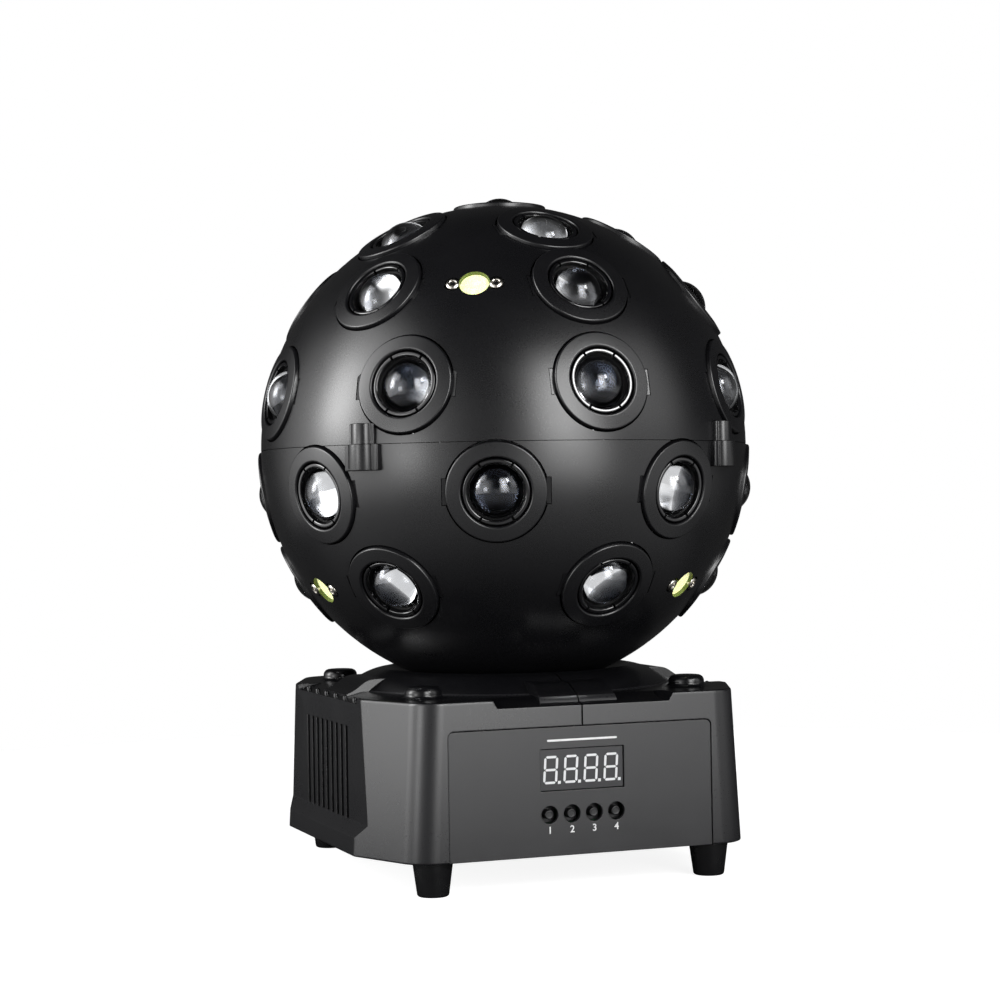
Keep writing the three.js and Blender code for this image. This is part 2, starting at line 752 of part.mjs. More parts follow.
// Steel chassis: floor plate with the control panel and the socket panel turned up from it
function chassis() {
  const edge = cover_wall + gap;
  const floor = solid(raised(base_outline(edge), foot_height, floor_z));
  const panel_width = 2 * panel_half_width;
  const strip = solid(box([panel_width, 2 * panel_face, sheet], [0, 0, foot_height + sheet / 2]));
  const front = solid(along_y(panel_window(0), -panel_face, -panel_face + sheet));
  const back = front.mirror([0, 1, 0]);
  const cut_depth = sheet + 2 * overrun;
  const window_size = [window_width, cut_depth, window_height];
  const window = solid(box(window_size, [0, -panel_face, window_middle]));
  const button_holes = button_places().map((x) => (
    solid(lying_rod(button_hole_radius, -panel_face - overrun, -panel_face + overrun, button_sides, x, button_z))
  ));
  const inlet_size = [inlet.width + 2 * gap, cut_depth, inlet.height + 2 * gap];
  const inlet_hole = solid(box(inlet_size, [0, panel_face, socket_middle]));
  const data_holes = [-1, 1].map((side) => solid(lying_rod(
    data_socket.barrel_radius + gap, panel_face - overrun, panel_face + overrun,
    data_socket.sides, side * data_socket.place, socket_middle,
  )));
  return cut(join([floor, strip, front, back]), [window, ...button_holes, inlet_hole, ...data_holes]);
}

// A rod that lies along Y
function lying_rod(radius, start, end, sides, x, z, tip_radius = radius) {
  return rod(radius, -end, -start, sides, tip_radius).rotateX(Math.PI / 2).translate(x, 0, z);
}

function button_places() {
  return Array.from({ length: button_count }, (_, i) => (i - (button_count - 1) / 2) * button_pitch);
}

// Control board: display, switch bodies and the four spacers behind the panel
function control_board() {
  const back = -board_face + board_thickness;
  const board_size = [board_width, board_thickness, board_height];
  const board = solid(box(board_size, [0, back - board_thickness / 2, board_middle]));
  const display_size = [window_width - 2 * gap, display_depth + board_thickness / 2, window_height - 2 * gap];
  const display_front = -panel_face + display_recess;
  const display = solid(box(display_size, [0, display_front + display_size[1] / 2, window_middle]));
  const switch_size = [switch_width, switch_depth + board_thickness / 2, switch_width];
  const switch_front = -board_face - switch_depth;
  const switches = button_places().map((x) => (
    solid(box(switch_size, [x, switch_front + switch_size[1] / 2, button_z]))
  ));
  const spacer_x = board_width / 2 - spacer_margin;
  const spacer_z = board_height / 2 - spacer_margin;
  const spacer_front = -panel_face + sheet + gap;
  const spacers = [[-1, -1], [1, -1], [1, 1], [-1, 1]].map(([sx, sz]) => solid(lying_rod(
    spacer_radius, spacer_front, -board_face + board_thickness / 2, spacer_sides,
    sx * spacer_x, board_middle + sz * spacer_z,
  )));
  return join([board, display, ...switches, ...spacers]);
}

// A button's stem: from just behind the panel's face to just short of its switch
function button() {
  const front = -panel_face + button_recess;
  const rear = -board_face - switch_depth - button_travel - gap;
  const bevel = button_radius / 4;
  const profile = [
    [0, -rear], [button_radius, -rear], [button_radius, -front - bevel],
    [button_radius - bevel, -front], [0, -front],
  ];
  return turned(profile, button_sides).rotateX(Math.PI / 2);
}

function foot() {
  const top = foot_height - gap;
  const profile = [
    [0, 0], [foot_tip_radius - foot_bevel, 0], [foot_tip_radius, foot_bevel],
    [foot_radius, top], [0, top],
  ];
  return turned(profile, foot_sides);
}

// Drive bracket: a bridge over the motor with turned-out feet
function drive_bracket() {
  const under = floor_z + gap;
  const wall_y = bracket_depth / 2 - bracket_sheet / 2;
  const top_size = [bracket_length, bracket_depth, bracket_sheet];
  const top = solid(box(top_size, [bracket_middle, 0, bracket_top - bracket_sheet / 2]));
  const wall_height = bracket_top - under;
  const sides = [-1, 1].flatMap((side) => [
    solid(box(
      [bracket_length, bracket_sheet, wall_height], [bracket_middle, side * wall_y, under + wall_height / 2],
    )),
    solid(box(
      [bracket_length, bracket_foot, bracket_sheet],
      [bracket_middle, side * (wall_y + bracket_foot / 2 - bracket_sheet / 2), under + bracket_sheet / 2],
    )),
  ]);
  const bearing_hole = solid(rod(bearing_radius + gap, under, bracket_top + overrun, drive_sides));
  const motor_hole = solid(
    rod(motor_boss_radius + gap, under + bracket_foot, bracket_top + overrun, drive_sides)
      .translate(-motor_offset, 0, 0),
  );
  return cut(join([top, ...sides]), [bearing_hole, motor_hole]);
}

function spindle_bearing() {
  const bore = spindle_radius + gap;
  const flange = bearing_radius + bearing_flange;
  const ring = turned([
    [bore, bracket_top - bearing_depth], [bearing_radius, bracket_top - bearing_depth],
    [bearing_radius, bracket_top + gap], [flange, bracket_top + gap],
    [flange, bearing_top], [bore, bearing_top], [bore, bracket_top - bearing_depth],
  ], drive_sides);
  return solid(ring);
}

// Grooved pulley for the flat belt
function pulley(radius, bore) {
  const lip = radius + belt_thickness + pulley_lip / 2;
  const lip_inner = pulley_lip_thickness;
  const lip_outer = pulley_height - pulley_lip_thickness;
  const top = pulley_height;
  const middle = bore > 0 ? [[bore, 0]] : [[0, 0]];
  const closing = bore > 0 ? [[bore, top], [bore, 0]] : [[0, top]];
  const profile = [
    ...middle, [lip, 0], [lip, lip_inner], [radius, lip_inner], [radius, lip_outer],
    [lip, lip_outer], [lip, top], ...closing,
  ];
  return turned(profile, drive_sides).translate(0, 0, pulley_z);
}

// Hollow spindle with the driven pulley on it and the hub that carries the ball
function spindle() {
  const hub_top = hub_z + hub_thickness;
  const shaft = solid(rod(spindle_radius, spindle_bottom, hub_top, drive_sides));
  const hub = solid(rod(hub_radius - gap, hub_z, hub_top, drive_sides));
  const driven = solid(pulley(driven_pulley_radius, 0));
  const bore = solid(rod(spindle_bore_radius, spindle_bottom - overrun, hub_top + overrun, drive_sides));
  return join([shaft, hub, driven]).subtract(bore);
}

// Motor pulley with the motor's shaft, drawn on the motor's axis
function motor_pulley() {
  const motor_top = bracket_top - bracket_sheet - gap;
  const shaft_top = pulley_z + pulley_height + gap;
  const shaft = solid(rod(shaft_radius, motor_top - shaft_depth, shaft_top, spacer_sides * 2));
  return solid(pulley(motor_pulley_radius, 0)).add(shaft);
}

// Motor: square body with cut corners, a round boss and a well for the shaft
function pan_motor() {
  const top = bracket_top - bracket_sheet - gap;
  const half = motor_width / 2;
  const step = half - motor_corner;
  const outline = vectors([
    [half, -step], [half, step], [step, half], [-step, half],
    [-half, step], [-half, -step], [-step, -half], [step, -half],
  ]);
  const body = solid(raised(outline, top - motor_height, top));
  const boss = solid(rod(motor_boss_radius, top - gap, top + motor_boss_height, drive_sides));
  const well = solid(rod(shaft_radius + gap, top - shaft_depth - gap, top + overrun, spacer_sides * 2));
  return body.add(boss).subtract(well);
}

// Outline of a belt round the two pulleys, a distance outside their grooves
function belt_outline(outwards) {
  const big = driven_pulley_radius + gap + outwards;
  const small = motor_pulley_radius + gap + outwards;
  const lean = Math.acos((big - small) / motor_offset);
  const arc = (radius, x, from, to) => Array.from({ length: belt_steps + 1 }, (_, i) => {
    const step = (to - from) / belt_steps;
    const turn = from + step * i;
    const clear = radius / Math.cos(step / 2);
    return new THREE.Vector2(x + clear * Math.cos(turn), clear * Math.sin(turn));
  });
  const big_arc = arc(big, 0, lean - Math.PI, Math.PI - lean);
  const small_arc = arc(small, -motor_offset, Math.PI - lean, Math.PI + lean);
  return [...big_arc, ...small_arc];
}

function drive_belt() {
  return solid(raised(belt_outline(belt_thickness), belt_z, belt_z + belt_width, [belt_outline(0)]));
}

function slip_ring() {
  const bottom = floor_z + gap;
  const top = spindle_bottom - gap;
  const flange = slip_ring_radius + slip_ring_flange;
  const profile = [
    [0, bottom], [flange, bottom], [flange, bottom + slip_ring_flange_thickness],
    [slip_ring_radius, bottom + slip_ring_flange_thickness], [slip_ring_radius, top], [0, top],
  ];
  return solid(turned(profile, slip_ring_sides));
}

// Lamp core: post on the hub, finned heat sink and an emitter on each side and on top
function lamp_core() {
  const bottom = hub_z + hub_thickness + gap - ball_z;
  const sink_bottom = -lamp_height / 2;
  const post = solid(rod(lamp_post_radius, bottom, sink_bottom + overrun, slip_ring_sides));
  const sink = solid(rod(lamp_radius, sink_bottom, lamp_height / 2, lamp_sides));
  const groove = turned([
    [lamp_radius - fin_depth, 0], [lamp_radius + overrun, 0], [lamp_radius + overrun, fin_gap],
    [lamp_radius - fin_depth, fin_gap], [lamp_radius - fin_depth, 0],
  ], lamp_sides);
  const grooves = Array.from({ length: fin_count }, (_, i) => (
    solid(groove.clone().translate(0, 0, sink_bottom + fin_gap * (2 * i + 1)))
  ));
  const flat = lamp_radius * Math.cos(Math.PI / lamp_sides);
  const chip = [emitter_width, emitter_thickness * 2, emitter_width];
  const chip_z = lamp_height / 2 - emitter_width;
  const chips = Array.from({ length: lamp_sides }, (_, i) => {
    const turn = ((2 * i + 1) * Math.PI) / lamp_sides;
    return solid(box(chip, [0, flat, chip_z]).rotateZ(turn));
  });
  const crown = solid(box([emitter_width, emitter_width, emitter_thickness * 2], [0, 0, lamp_height / 2]));
  return join([post, cut(sink, grooves), ...chips, crown]);
}

// Power board on spacers, with its transformer and its capacitor
function power_board() {
  const bottom = floor_z + gap;
  const board_z = bottom + power_board_rise;
  const top = board_z + board_thickness;
  const board_size = [power_board_width, power_board_length, board_thickness];
  const board = solid(box(board_size, [power_board_x, 0, board_z + board_thickness / 2]));
  const core_size = [transformer.width, transformer.length, transformer.height + board_thickness / 2];
  const core_y = power_board_length * transformer.place_share;
  const core = solid(box(core_size, [power_board_x, core_y, top + transformer.height / 2 - board_thickness / 4]));
  const can = solid(
    rod(capacitor.radius, board_z + board_thickness / 2, top + capacitor.height, slip_ring_sides)
      .translate(power_board_x, power_board_length * capacitor.place_share, 0),
  );
  const dx = power_board_width / 2 - spacer_margin;
  const dy = power_board_length / 2 - spacer_margin;
  const spacers = [[-1, -1], [1, -1], [1, 1], [-1, 1]].map(([sx, sy]) => solid(
    rod(spacer_radius, bottom, board_z + board_thickness / 2, spacer_sides)
      .translate(power_board_x + sx * dx, sy * dy, 0),
  ));
  return join([board, core, can, ...spacers]);
}

// Mains inlet: a moulded socket with its lip outside the panel and three blades inside
function power_inlet() {
  const outside = panel_face + inlet.lip_thickness + gap;
  const body_size = [inlet.width, inlet.depth, inlet.height];
  const body = solid(box(body_size, [0, outside - inlet.depth / 2, socket_middle]));
  const lip_size = [inlet.width + 2 * inlet.lip, inlet.lip_thickness, inlet.height + 2 * inlet.lip];
  const lip = solid(box(lip_size, [0, outside - inlet.lip_thickness / 2, socket_middle]));
  const cavity_size = [
    inlet.width - 2 * inlet.wall, inlet.cavity_depth + overrun, inlet.height - 2 * inlet.wall,
  ];
  const cavity_middle = outside - inlet.cavity_depth + cavity_size[1] / 2;
  const cavity = solid(box(cavity_size, [0, cavity_middle, socket_middle]));
  const root = outside - inlet.cavity_depth - inlet.wall / 2;
  const blade_size = [inlet.blade_width, inlet.blade_length + inlet.wall / 2, inlet.blade_height];
  const blades = [[-1, -1], [1, -1], [0, 1]].map(([sx, sz]) => solid(box(blade_size, [
    sx * inlet.blade_spread, root + blade_size[1] / 2, socket_middle + sz * inlet.blade_rise,
  ])));
  return join([body.add(lip).subtract(cavity), ...blades]);
}

// Front plate and barrel that both data sockets share
function data_socket_body(x) {
  const outside = panel_face + gap + data_socket.plate;
  const half_w = data_socket.width / 2;
  const half_h = data_socket.height / 2;
  const bevel = data_socket.corner;
  const outline = vectors([
    [half_w, bevel - half_h], [half_w, half_h - bevel], [half_w - bevel, half_h],
    [bevel - half_w, half_h], [-half_w, half_h - bevel], [-half_w, bevel - half_h],
    [bevel - half_w, -half_h], [half_w - bevel, -half_h],
  ]);
  const plate = solid(along_y(outline, outside - data_socket.plate, outside).translate(x, 0, socket_middle));
  const barrel = solid(lying_rod(
    data_socket.barrel_radius, outside - data_socket.depth, outside - data_socket.plate / 2,
    data_socket.sides, x, socket_middle,
  ));
  const mouth = solid(lying_rod(
    data_socket.mouth_radius, outside - data_socket.mouth_depth, outside + overrun,
    data_socket.sides, x, socket_middle,
  ));
  return plate.add(barrel).subtract(mouth);
}

function pin_places(x) {
  return [0, 1, 2].map((i) => {
    const turn = Math.PI * (1 + i / 2);
    return [x + data_socket.pin_circle * Math.cos(turn), socket_middle + data_socket.pin_circle * Math.sin(turn)];
  });
}

// Data input: three pins in the open barrel
function data_in() {
  const x = -data_socket.place;
  const root = panel_face + gap + data_socket.plate - data_socket.mouth_depth;
  const pins = pin_places(x).map(([px, pz]) => solid(lying_rod(
    data_socket.pin_radius, root - data_socket.plate, root + data_socket.pin_length, spacer_sides, px, pz,
  )));
  return join([data_socket_body(x), ...pins]);
}

// Data output: an insert with three holes in the barrel
function data_out() {
  const x = data_socket.place;
  const root = panel_face + gap + data_socket.plate - data_socket.mouth_depth;
  const face = root + data_socket.insert_length;
  const insert = solid(lying_rod(
    data_socket.insert_radius, root - data_socket.plate, face, data_socket.sides, x, socket_middle,
  ));
  const holes = pin_places(x).map(([px, pz]) => solid(lying_rod(
    data_socket.hole_radius, face - data_socket.hole_depth, face + overrun, spacer_sides, px, pz,
  )));
  return cut(data_socket_body(x).add(insert), holes);
}

// Materials
const finish = (color, roughness, metalness = 0) => new THREE.MeshStandardMaterial({ color, roughness, metalness });
const ball_black = finish(0x17171a, 0.5);
const base_grey = finish(0x4c4c50, 0.5);
const panel_grey = finish(0x454548, 0.65, 0.2);
const clear_lens = finish(0xdfe6ee, 0.08);
const rubber = finish(0x101012, 0.7);
const plastic_black = finish(0x0e0e10, 0.45);
const steel = finish(0xa9adb2, 0.4, 1);
const board_green = finish(0x1d5a36, 0.5);
const aluminium = finish(0xb9bec4, 0.35, 1);
const belt_black = finish(0x1a1a1a, 0.8);

function piece(name, geometry, material, place = [0, 0, 0]) {
  const mesh = new THREE.Mesh(geometry, material);
  mesh.name = name;
  mesh.position.set(...place);
  return mesh;
}

const made = (name, body, material, place) => piece(name, geometryOf(body), material, place);

// The turning ball, drawn from its own middle
const ball = new THREE.Group();
ball.position.z = ball_z;
ball.add(made('upper_shell', upper_shell(), ball_black));
ball.add(made('lower_shell', lower_shell(), ball_black));
ball.add(made('lamp_core', lamp_core(), aluminium));
const lens_geometry = geometryOf(solid(lens()));
for (const spot of places([...upper_rows, ...lower_rows])) {
  const mesh = piece(`lens_${spot.row}_${spot.number}`, lens_geometry, clear_lens);
  mesh.quaternion.setFromRotationMatrix(frame_at(spot.turn, spot.elevation));
  ball.add(mesh);
}

// The base and its drive
const base = new THREE.Group();
const cover = whole_cover();
base.add(made('cover_left', cover_half(cover, -1), base_grey));
base.add(made('cover_right', cover_half(cover, 1), base_grey));
base.add(made('chassis', chassis(), panel_grey));
base.add(made('control_board', control_board(), board_green));
base.add(made('power_board', power_board(), board_green));
base.add(made('drive_bracket', drive_bracket(), steel));
base.add(made('spindle_bearing', spindle_bearing(), steel));
base.add(made('spindle', spindle(), steel));
base.add(made('drive_belt', drive_belt(), belt_black));
base.add(made('motor_pulley', motor_pulley(), aluminium, [-motor_offset, 0, 0]));
base.add(made('pan_motor', pan_motor(), steel, [-motor_offset, 0, 0]));
base.add(made('slip_ring', slip_ring(), plastic_black));
base.add(made('power_inlet', power_inlet(), plastic_black));
base.add(made('data_in', data_in(), plastic_black));
base.add(made('data_out', data_out(), plastic_black));
const button_geometry = geometryOf(solid(button()));
button_places().forEach((x, i) => {
  base.add(piece(`button_${i + 1}`, button_geometry, plastic_black, [x, 0, button_z]));
});
const foot_geometry = geometryOf(solid(foot()));
[[-1, -1], [1, -1], [1, 1], [-1, 1]].forEach(([sx, sy], i) => {
  base.add(piece(`foot_${i + 1}`, foot_geometry, rubber, [sx * foot_x, sy * foot_y, 0]));
});

const magic_ball_light = new THREE.Group();
magic_ball_light.add(base, ball);

export default magic_ball_light;
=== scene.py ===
from math import acos, asin, cos, hypot, pi, radians, sin, sqrt, tan

import bmesh
import bpy
from mathutils import Matrix, Vector


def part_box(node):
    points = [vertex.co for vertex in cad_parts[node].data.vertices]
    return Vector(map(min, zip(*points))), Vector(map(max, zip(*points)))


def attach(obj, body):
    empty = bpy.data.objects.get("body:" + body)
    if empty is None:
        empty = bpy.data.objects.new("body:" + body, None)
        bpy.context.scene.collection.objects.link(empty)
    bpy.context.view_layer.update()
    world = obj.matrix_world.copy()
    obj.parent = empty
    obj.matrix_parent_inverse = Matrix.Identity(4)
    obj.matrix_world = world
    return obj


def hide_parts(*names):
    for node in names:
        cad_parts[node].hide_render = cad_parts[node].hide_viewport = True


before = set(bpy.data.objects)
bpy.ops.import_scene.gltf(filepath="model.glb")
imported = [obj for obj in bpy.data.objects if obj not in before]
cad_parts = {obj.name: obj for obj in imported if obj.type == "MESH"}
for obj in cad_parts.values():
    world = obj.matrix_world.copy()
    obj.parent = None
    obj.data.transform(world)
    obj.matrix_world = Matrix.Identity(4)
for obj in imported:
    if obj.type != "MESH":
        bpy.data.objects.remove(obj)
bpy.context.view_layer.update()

# Magic ball light. Its sizes are in millimetres, and mm turns them into metres.
mm = 0.001

# Sizes

ball_radius = 90
ball_middle = Vector((0, 0, 153.505))
ball_place = Matrix.Translation(ball_middle * mm)
shell_wall = 2.5
seam_gap = 0.22

# On the ball, heights are distances from its middle
bezel_radius = 17.15
bezel_bore = 11.9
bezel_face_radius = 91.26
bezel_hole_radius = 17.75
bezel_slot_reach = 18.55
bezel_slot_half = 4.7
lens_radius = 9.1
seat_radius = 9.15

# Rows of lenses: how many, then the turn of the first and the elevation, in degrees
lens_rows = {
    "a": (8, 2, 13),
    "b": (6, 2, 37.4),
    "c": (5, 0, 59.3),
    "top": (1, 0, 90),
    "d": (8, -22.4, -10.95),
    "e": (6, 7.6, -33.8),
}
spots = [
    (row, i + 1, first + 360 / count * i, elevation)
    for row, (count, first, elevation) in lens_rows.items()
    for i in range(count)
]

strobe_places = [(-28 + 120 * i, 37.6) for i in range(3)] + [(-82.4 + 120 * i, -34.4) for i in range(3)]
strobe_radius = 5.45
strobe_tab = 7.5
strobe_tab_radius = 3.1
led_radius = 5.15
boss_turns = [-52.6 + 90 * i for i in range(4)]

foot_height = 11.9
deck_z = 66.1
half_width = 73.5
half_width_top = 70.1
half_depth = 72.3
cover_wall = 2.2
dish_radius = 92.2
crest_radius = 46
crest_height = 6.6
cap_reach = 50
panel_y = -71.8
sheet = 1.5
window_middle = 41.3
button_z = 26.05
button_xs = [-12.375, -4.125, 4.125, 12.375]
number_z = 20.7
socket_middle = 36
floor_radius = 500

four_corners = [(-1, -1), (1, -1), (1, 1), (-1, 1)]


# Colours and nodes

def linear(code):
    """An sRGB hex colour as linear RGBA."""
    parts = [int(code[i : i + 2], 16) / 255 for i in (1, 3, 5)]
    return [c / 12.92 if c <= 0.04045 else ((c + 0.055) / 1.055) ** 2.4 for c in parts] + [1]


def add(tree, kind, inputs=None, **settings):
    """Adds a node with its settings; an input is a value, an output that feeds it, or a node
    whose first output does."""
    made = tree.nodes.new("ShaderNode" + kind)
    for key, value in settings.items():
        setattr(made, key, value)
    for name, value in (inputs or {}).items():
        if isinstance(value, bpy.types.Node):
            value = value.outputs[0]
        if isinstance(value, bpy.types.NodeSocket):
            tree.links.new(value, made.inputs[name])
        else:
            made.inputs[name].default_value = value
    return made


def new_material(name):
    """A material without nodes; returns it, its tree and the coordinates of what wears it."""
    made = bpy.data.materials.new(name)
    made.use_nodes = True
    tree = made.node_tree
    tree.nodes.clear()
    return made, tree, add(tree, "TexCoord").outputs["Object"]


def surfaced(made, inputs):
    """Gives a material its shader with these inputs, and returns it."""
    shader = add(made.node_tree, "BsdfPrincipled", inputs)
    add(made.node_tree, "OutputMaterial", {"Surface": shader})
    return made


def grained(name, colours, roughness, grain, depth, patch, inputs=None, edge=0):
    """Moulded or coated surface: a fine grain that breaks up the gloss, and soft patches of
    handling and cooling marks. grain and patch are sizes in mm, depth is the grain's height,
    edge the radius of the piece's edges, and inputs is what else the shader needs."""
    made, tree, place = new_material(name)
    dark, light = colours
    low, high = roughness
    small = {"Vector": place, "Scale": 1 / (grain * mm), "Detail": 3, "Roughness": 0.6}
    large = {"Vector": place, "Scale": 1 / (patch * mm), "Detail": 4, "Roughness": 0.55}
    fine, broad = add(tree, "TexNoise", small), add(tree, "TexNoise", large)
    both = add(tree, "Math", {0: fine, 1: broad}, operation="MULTIPLY")
    tint = add(tree, "MixRGB", {"Fac": broad, "Color1": linear(dark), "Color2": linear(light)})
    span = {"From Min": 0.1, "From Max": 0.45, "To Min": low, "To Max": high}
    gloss = add(tree, "MapRange", {"Value": both, **span})
    bump = add(tree, "Bump", {"Strength": 1, "Distance": depth * mm, "Height": fine})
    if edge:
        # Moulded edges are never sharp: a small radius that catches a line of light
        soft = add(tree, "Bevel", {"Radius": edge * mm}, samples=6)
        tree.links.new(soft.outputs[0], bump.inputs["Normal"])
    return surfaced(made, {"Base Color": tint, "Roughness": gloss, "Normal": bump, **(inputs or {})})


# Injection-moulded black ABS with a fine spark-eroded grain: a wide, soft, slightly sparkling
# highlight on near black. Real grain is 0.1 mm; drawn at 0.55 mm so it shows.
shell_black = grained(
    "moulded_black_abs", ("#0a0a0c", "#0f0f11"), (0.26, 0.32), grain=0.55, depth=0.012, patch=26,
    inputs={"IOR": 1.6},
)

# The same black ABS on the clip-in bezels, from a finer polished tool: a little glossier
bezel_black = grained(
    "moulded_black_abs_bezels", ("#0b0b0d", "#111113"), (0.26, 0.33), grain=0.5, depth=0.007, patch=18,
    inputs={"IOR": 1.6},
)

# Injection-moulded dark grey ABS with a satin eroded grain: the base's covers
cover_grey = grained(
    "moulded_grey_abs", ("#151517", "#1b1b1d"), (0.26, 0.33), grain=0.6, depth=0.006, patch=34,
    inputs={"IOR": 1.6}, edge=0.5,
)

# Black lacquer brushed on a lens's edge, so that no light enters from the side
# The same black also makes the discs of painted shade in the screws' recesses
lens_edge_black = grained(
    "black_edge_lacquer", ("#040405", "#070708"), (0.5, 0.65), grain=0.6, depth=0.004, patch=4,
    inputs={"Specular IOR Level": 0.15},
)

# Black mask round the colour LED behind a lens: dull, so that the lens looks deep
mask_black = grained(
    "moulded_led_mask", ("#030304", "#060608"), (0.3, 0.45), grain=0.8, depth=0.004, patch=4,
    inputs={"Specular IOR Level": 0.03},
)

# Sheet steel with a fine-textured powder coat: dull, with a leathery 0.9 mm ripple
panel_coat = grained(
    "powder_coated_steel", ("#18181a", "#212123"), (0.31, 0.42), grain=0.9, depth=0.014, patch=12,
    inputs={"IOR": 1.54},
)

# Glossy black nylon, out of a polished tool: the rings that hold the lenses, which flash white
# where they mirror a lamp and are black elsewhere
ring_black = grained(
    "gloss_black_nylon", ("#08080a", "#0e0e10"), (0.1, 0.16), grain=0.8, depth=0.003, patch=9,
    inputs={"IOR": 1.8},
)

# The thin wall round the LED's face: olive, as painted shade with a painted yellow reflection of the phosphor
led_wall_shade_and_reflection = grained("led_wall_painted_shade", ("#4c5a1e", "#66762e"), (0.3, 0.42), grain=0.7, depth=0.004, patch=3)

# Moulded rubber foot: black with a soft sheen and a trace of mould bloom
rubber = grained(
    "moulded_foot_rubber", ("#0e0e0f", "#181819"), (0.2, 0.3), grain=0.7, depth=0.004, patch=7,
    inputs={"IOR": 1.52},
)

# Dark polycarbonate face of the LED display: black with a soft printed sheen
filter_black = grained("display_filter", ("#161619", "#1f1f23"), (0.3, 0.4), grain=0.8, depth=0.003, patch=6)

# Unlit, milk-white epoxy segments of the display
segment_white = grained(
    "display_segment_epoxy", ("#c6c7c9", "#dedfe0"), (0.35, 0.45), grain=0.5, depth=0.003, patch=2,
)

# White screen-printing ink: thin, flat, with slightly uneven cover
ink = grained("screen_printed_ink", ("#c9c9c9", "#e4e4e4"), (0.5, 0.6), grain=0.35, depth=0.003, patch=1.5)

# Glass-filled black nylon of the sockets: satin, faintly mottled
socket_black = grained(
    "glass_filled_nylon", ("#0c0c0e", "#18181a"), (0.36, 0.5), grain=0.5, depth=0.006, patch=8, edge=0.3,
)

# Green solder mask over fibreglass: glossy lacquer with the weave just showing
board_green = grained(
    "solder_mask_green", ("#123f25", "#1d5a36"), (0.28, 0.4), grain=0.7, depth=0.006, patch=5,
)

# Extruded belt rubber: dull black, dusty from running
belt_black = grained(
    "extruded_belt_rubber", ("#131313", "#222221"), (0.6, 0.78), grain=0.5, depth=0.01, patch=6,
)


def deck_shaded_abs(name, edge):
    """The covers' upper faces, from the polished side of the tool: glossy, and painted darker as shade."""
    return grained(
        name, ("#08080a", "#0e0e10"), (0.18, 0.25), grain=0.8, depth=0.004, patch=22,
        inputs={"IOR": 1.48}, edge=edge,
    )


def clear_acrylic(name, coat):
    """Polished injection-moulded acrylic lens: clear, with the faintest cool tint."""
    made, tree, place = new_material(name)
    flow = add(tree, "TexNoise", {"Vector": place, "Scale": 1 / (5 * mm), "Detail": 2})
    tint = add(tree, "MixRGB", {"Fac": flow, "Color1": linear("#f4f8ff"), "Color2": linear("#ffffff")})
    clear = {"Base Color": tint, "Roughness": 0, "IOR": 1.49, "Transmission Weight": 1}
    # A cool, dark mirror at right angles, so that the lens looks deep; still full at a slant
    return surfaced(made, {**clear, "Specular Tint": linear("#6f7b94"), **coat})


def nickel():
    """Nickel-plated steel screws, rolled and tumbled: bright with fine turning marks."""
    made, tree, place = new_material("nickel_plated_steel")
    marks = add(tree, "TexNoise", {"Vector": place, "Scale": 1 / (0.4 * mm), "Detail": 3})
    tint = add(tree, "MixRGB", {"Fac": marks, "Color1": linear("#b9b4aa"), "Color2": linear("#dcd8d0")})
    gloss = add(tree, "MapRange", {"Value": marks, "To Min": 0.18, "To Max": 0.34})
    return surfaced(made, {"Base Color": tint, "Roughness": gloss, "Metallic": 1})


def led_phosphor():
    """Silicone with yellow phosphor, cast over a white strobe LED: pale lemon, waxy, with a faint painted
    glow.
    """
    made, tree, place = new_material("cast_led_phosphor")
    cloud = add(tree, "TexNoise", {"Vector": place, "Scale": 1 / (1.6 * mm), "Detail": 3})
    tint = add(tree, "MixRGB", {"Fac": cloud, "Color1": linear("#f2f58a"), "Color2": linear("#ffffdc")})
    waxy = {"Base Color": tint, "Roughness": 0.35, "Subsurface Weight": 0.2, "Subsurface Scale": 0.6 * mm}
    # The faint emission is a painted glow, not a lamp
    return surfaced(made, {**waxy, "Emission Color": linear("#fbffc0"), "Emission Strength": 0.42})


def brushed_metal(name, dark, light, low, high):
    """Drawn or machined metal: fine marks 0.3 mm apart along one direction."""
    made, tree, place = new_material(name)
    long = add(tree, "Mapping", {"Vector": place, "Scale": (0.06, 0.06, 1)})
    marks = add(tree, "TexNoise", {"Vector": long, "Scale": 1 / (0.3 * mm), "Detail": 3})
    tint = add(tree, "MixRGB", {"Fac": marks, "Color1": linear(dark), "Color2": linear(light)})
    gloss = add(tree, "MapRange", {"Value": marks, "To Min": low, "To Max": high})
    bump = add(tree, "Bump", {"Strength": 1, "Distance": 0.004 * mm, "Height": marks})
    return surfaced(made, {"Base Color": tint, "Roughness": gloss, "Normal": bump, "Metallic": 1})


# The deck's darker black is painted shade; its gloss is its own
deck_gloss_and_shade = deck_shaded_abs("polished_black_abs", 0.35)
pip_black = deck_shaded_abs("polished_black_abs_pips", 0)
# Hard coat on the dome: a film that mirrors the lamps as soft bright spots
hard_coat = {"Coat Weight": 1, "Coat IOR": 1.65, "Coat Roughness": 0.12}
acrylic = clear_acrylic("hard_coated_acrylic", hard_coat)
bare_acrylic = clear_acrylic("polished_acrylic", {})
screw_nickel = nickel()
phosphor = led_phosphor()
steel = brushed_metal("drawn_steel", "#8b8d90", "#b4b6b8", 0.28, 0.42)
aluminium = brushed_metal("machined_aluminium", "#b3b6ba", "#d2d4d7", 0.24, 0.38)


# Making pieces

def linked(name, data):
    """A new object in the scene."""
    made = bpy.data.objects.new(name, data)
    bpy.context.scene.collection.objects.link(made)
    return made


def shifted(x=0, y=0, z=0):
    """A shift in mm, as a matrix in metres."""
    return Matrix.Translation((x * mm, y * mm, z * mm))


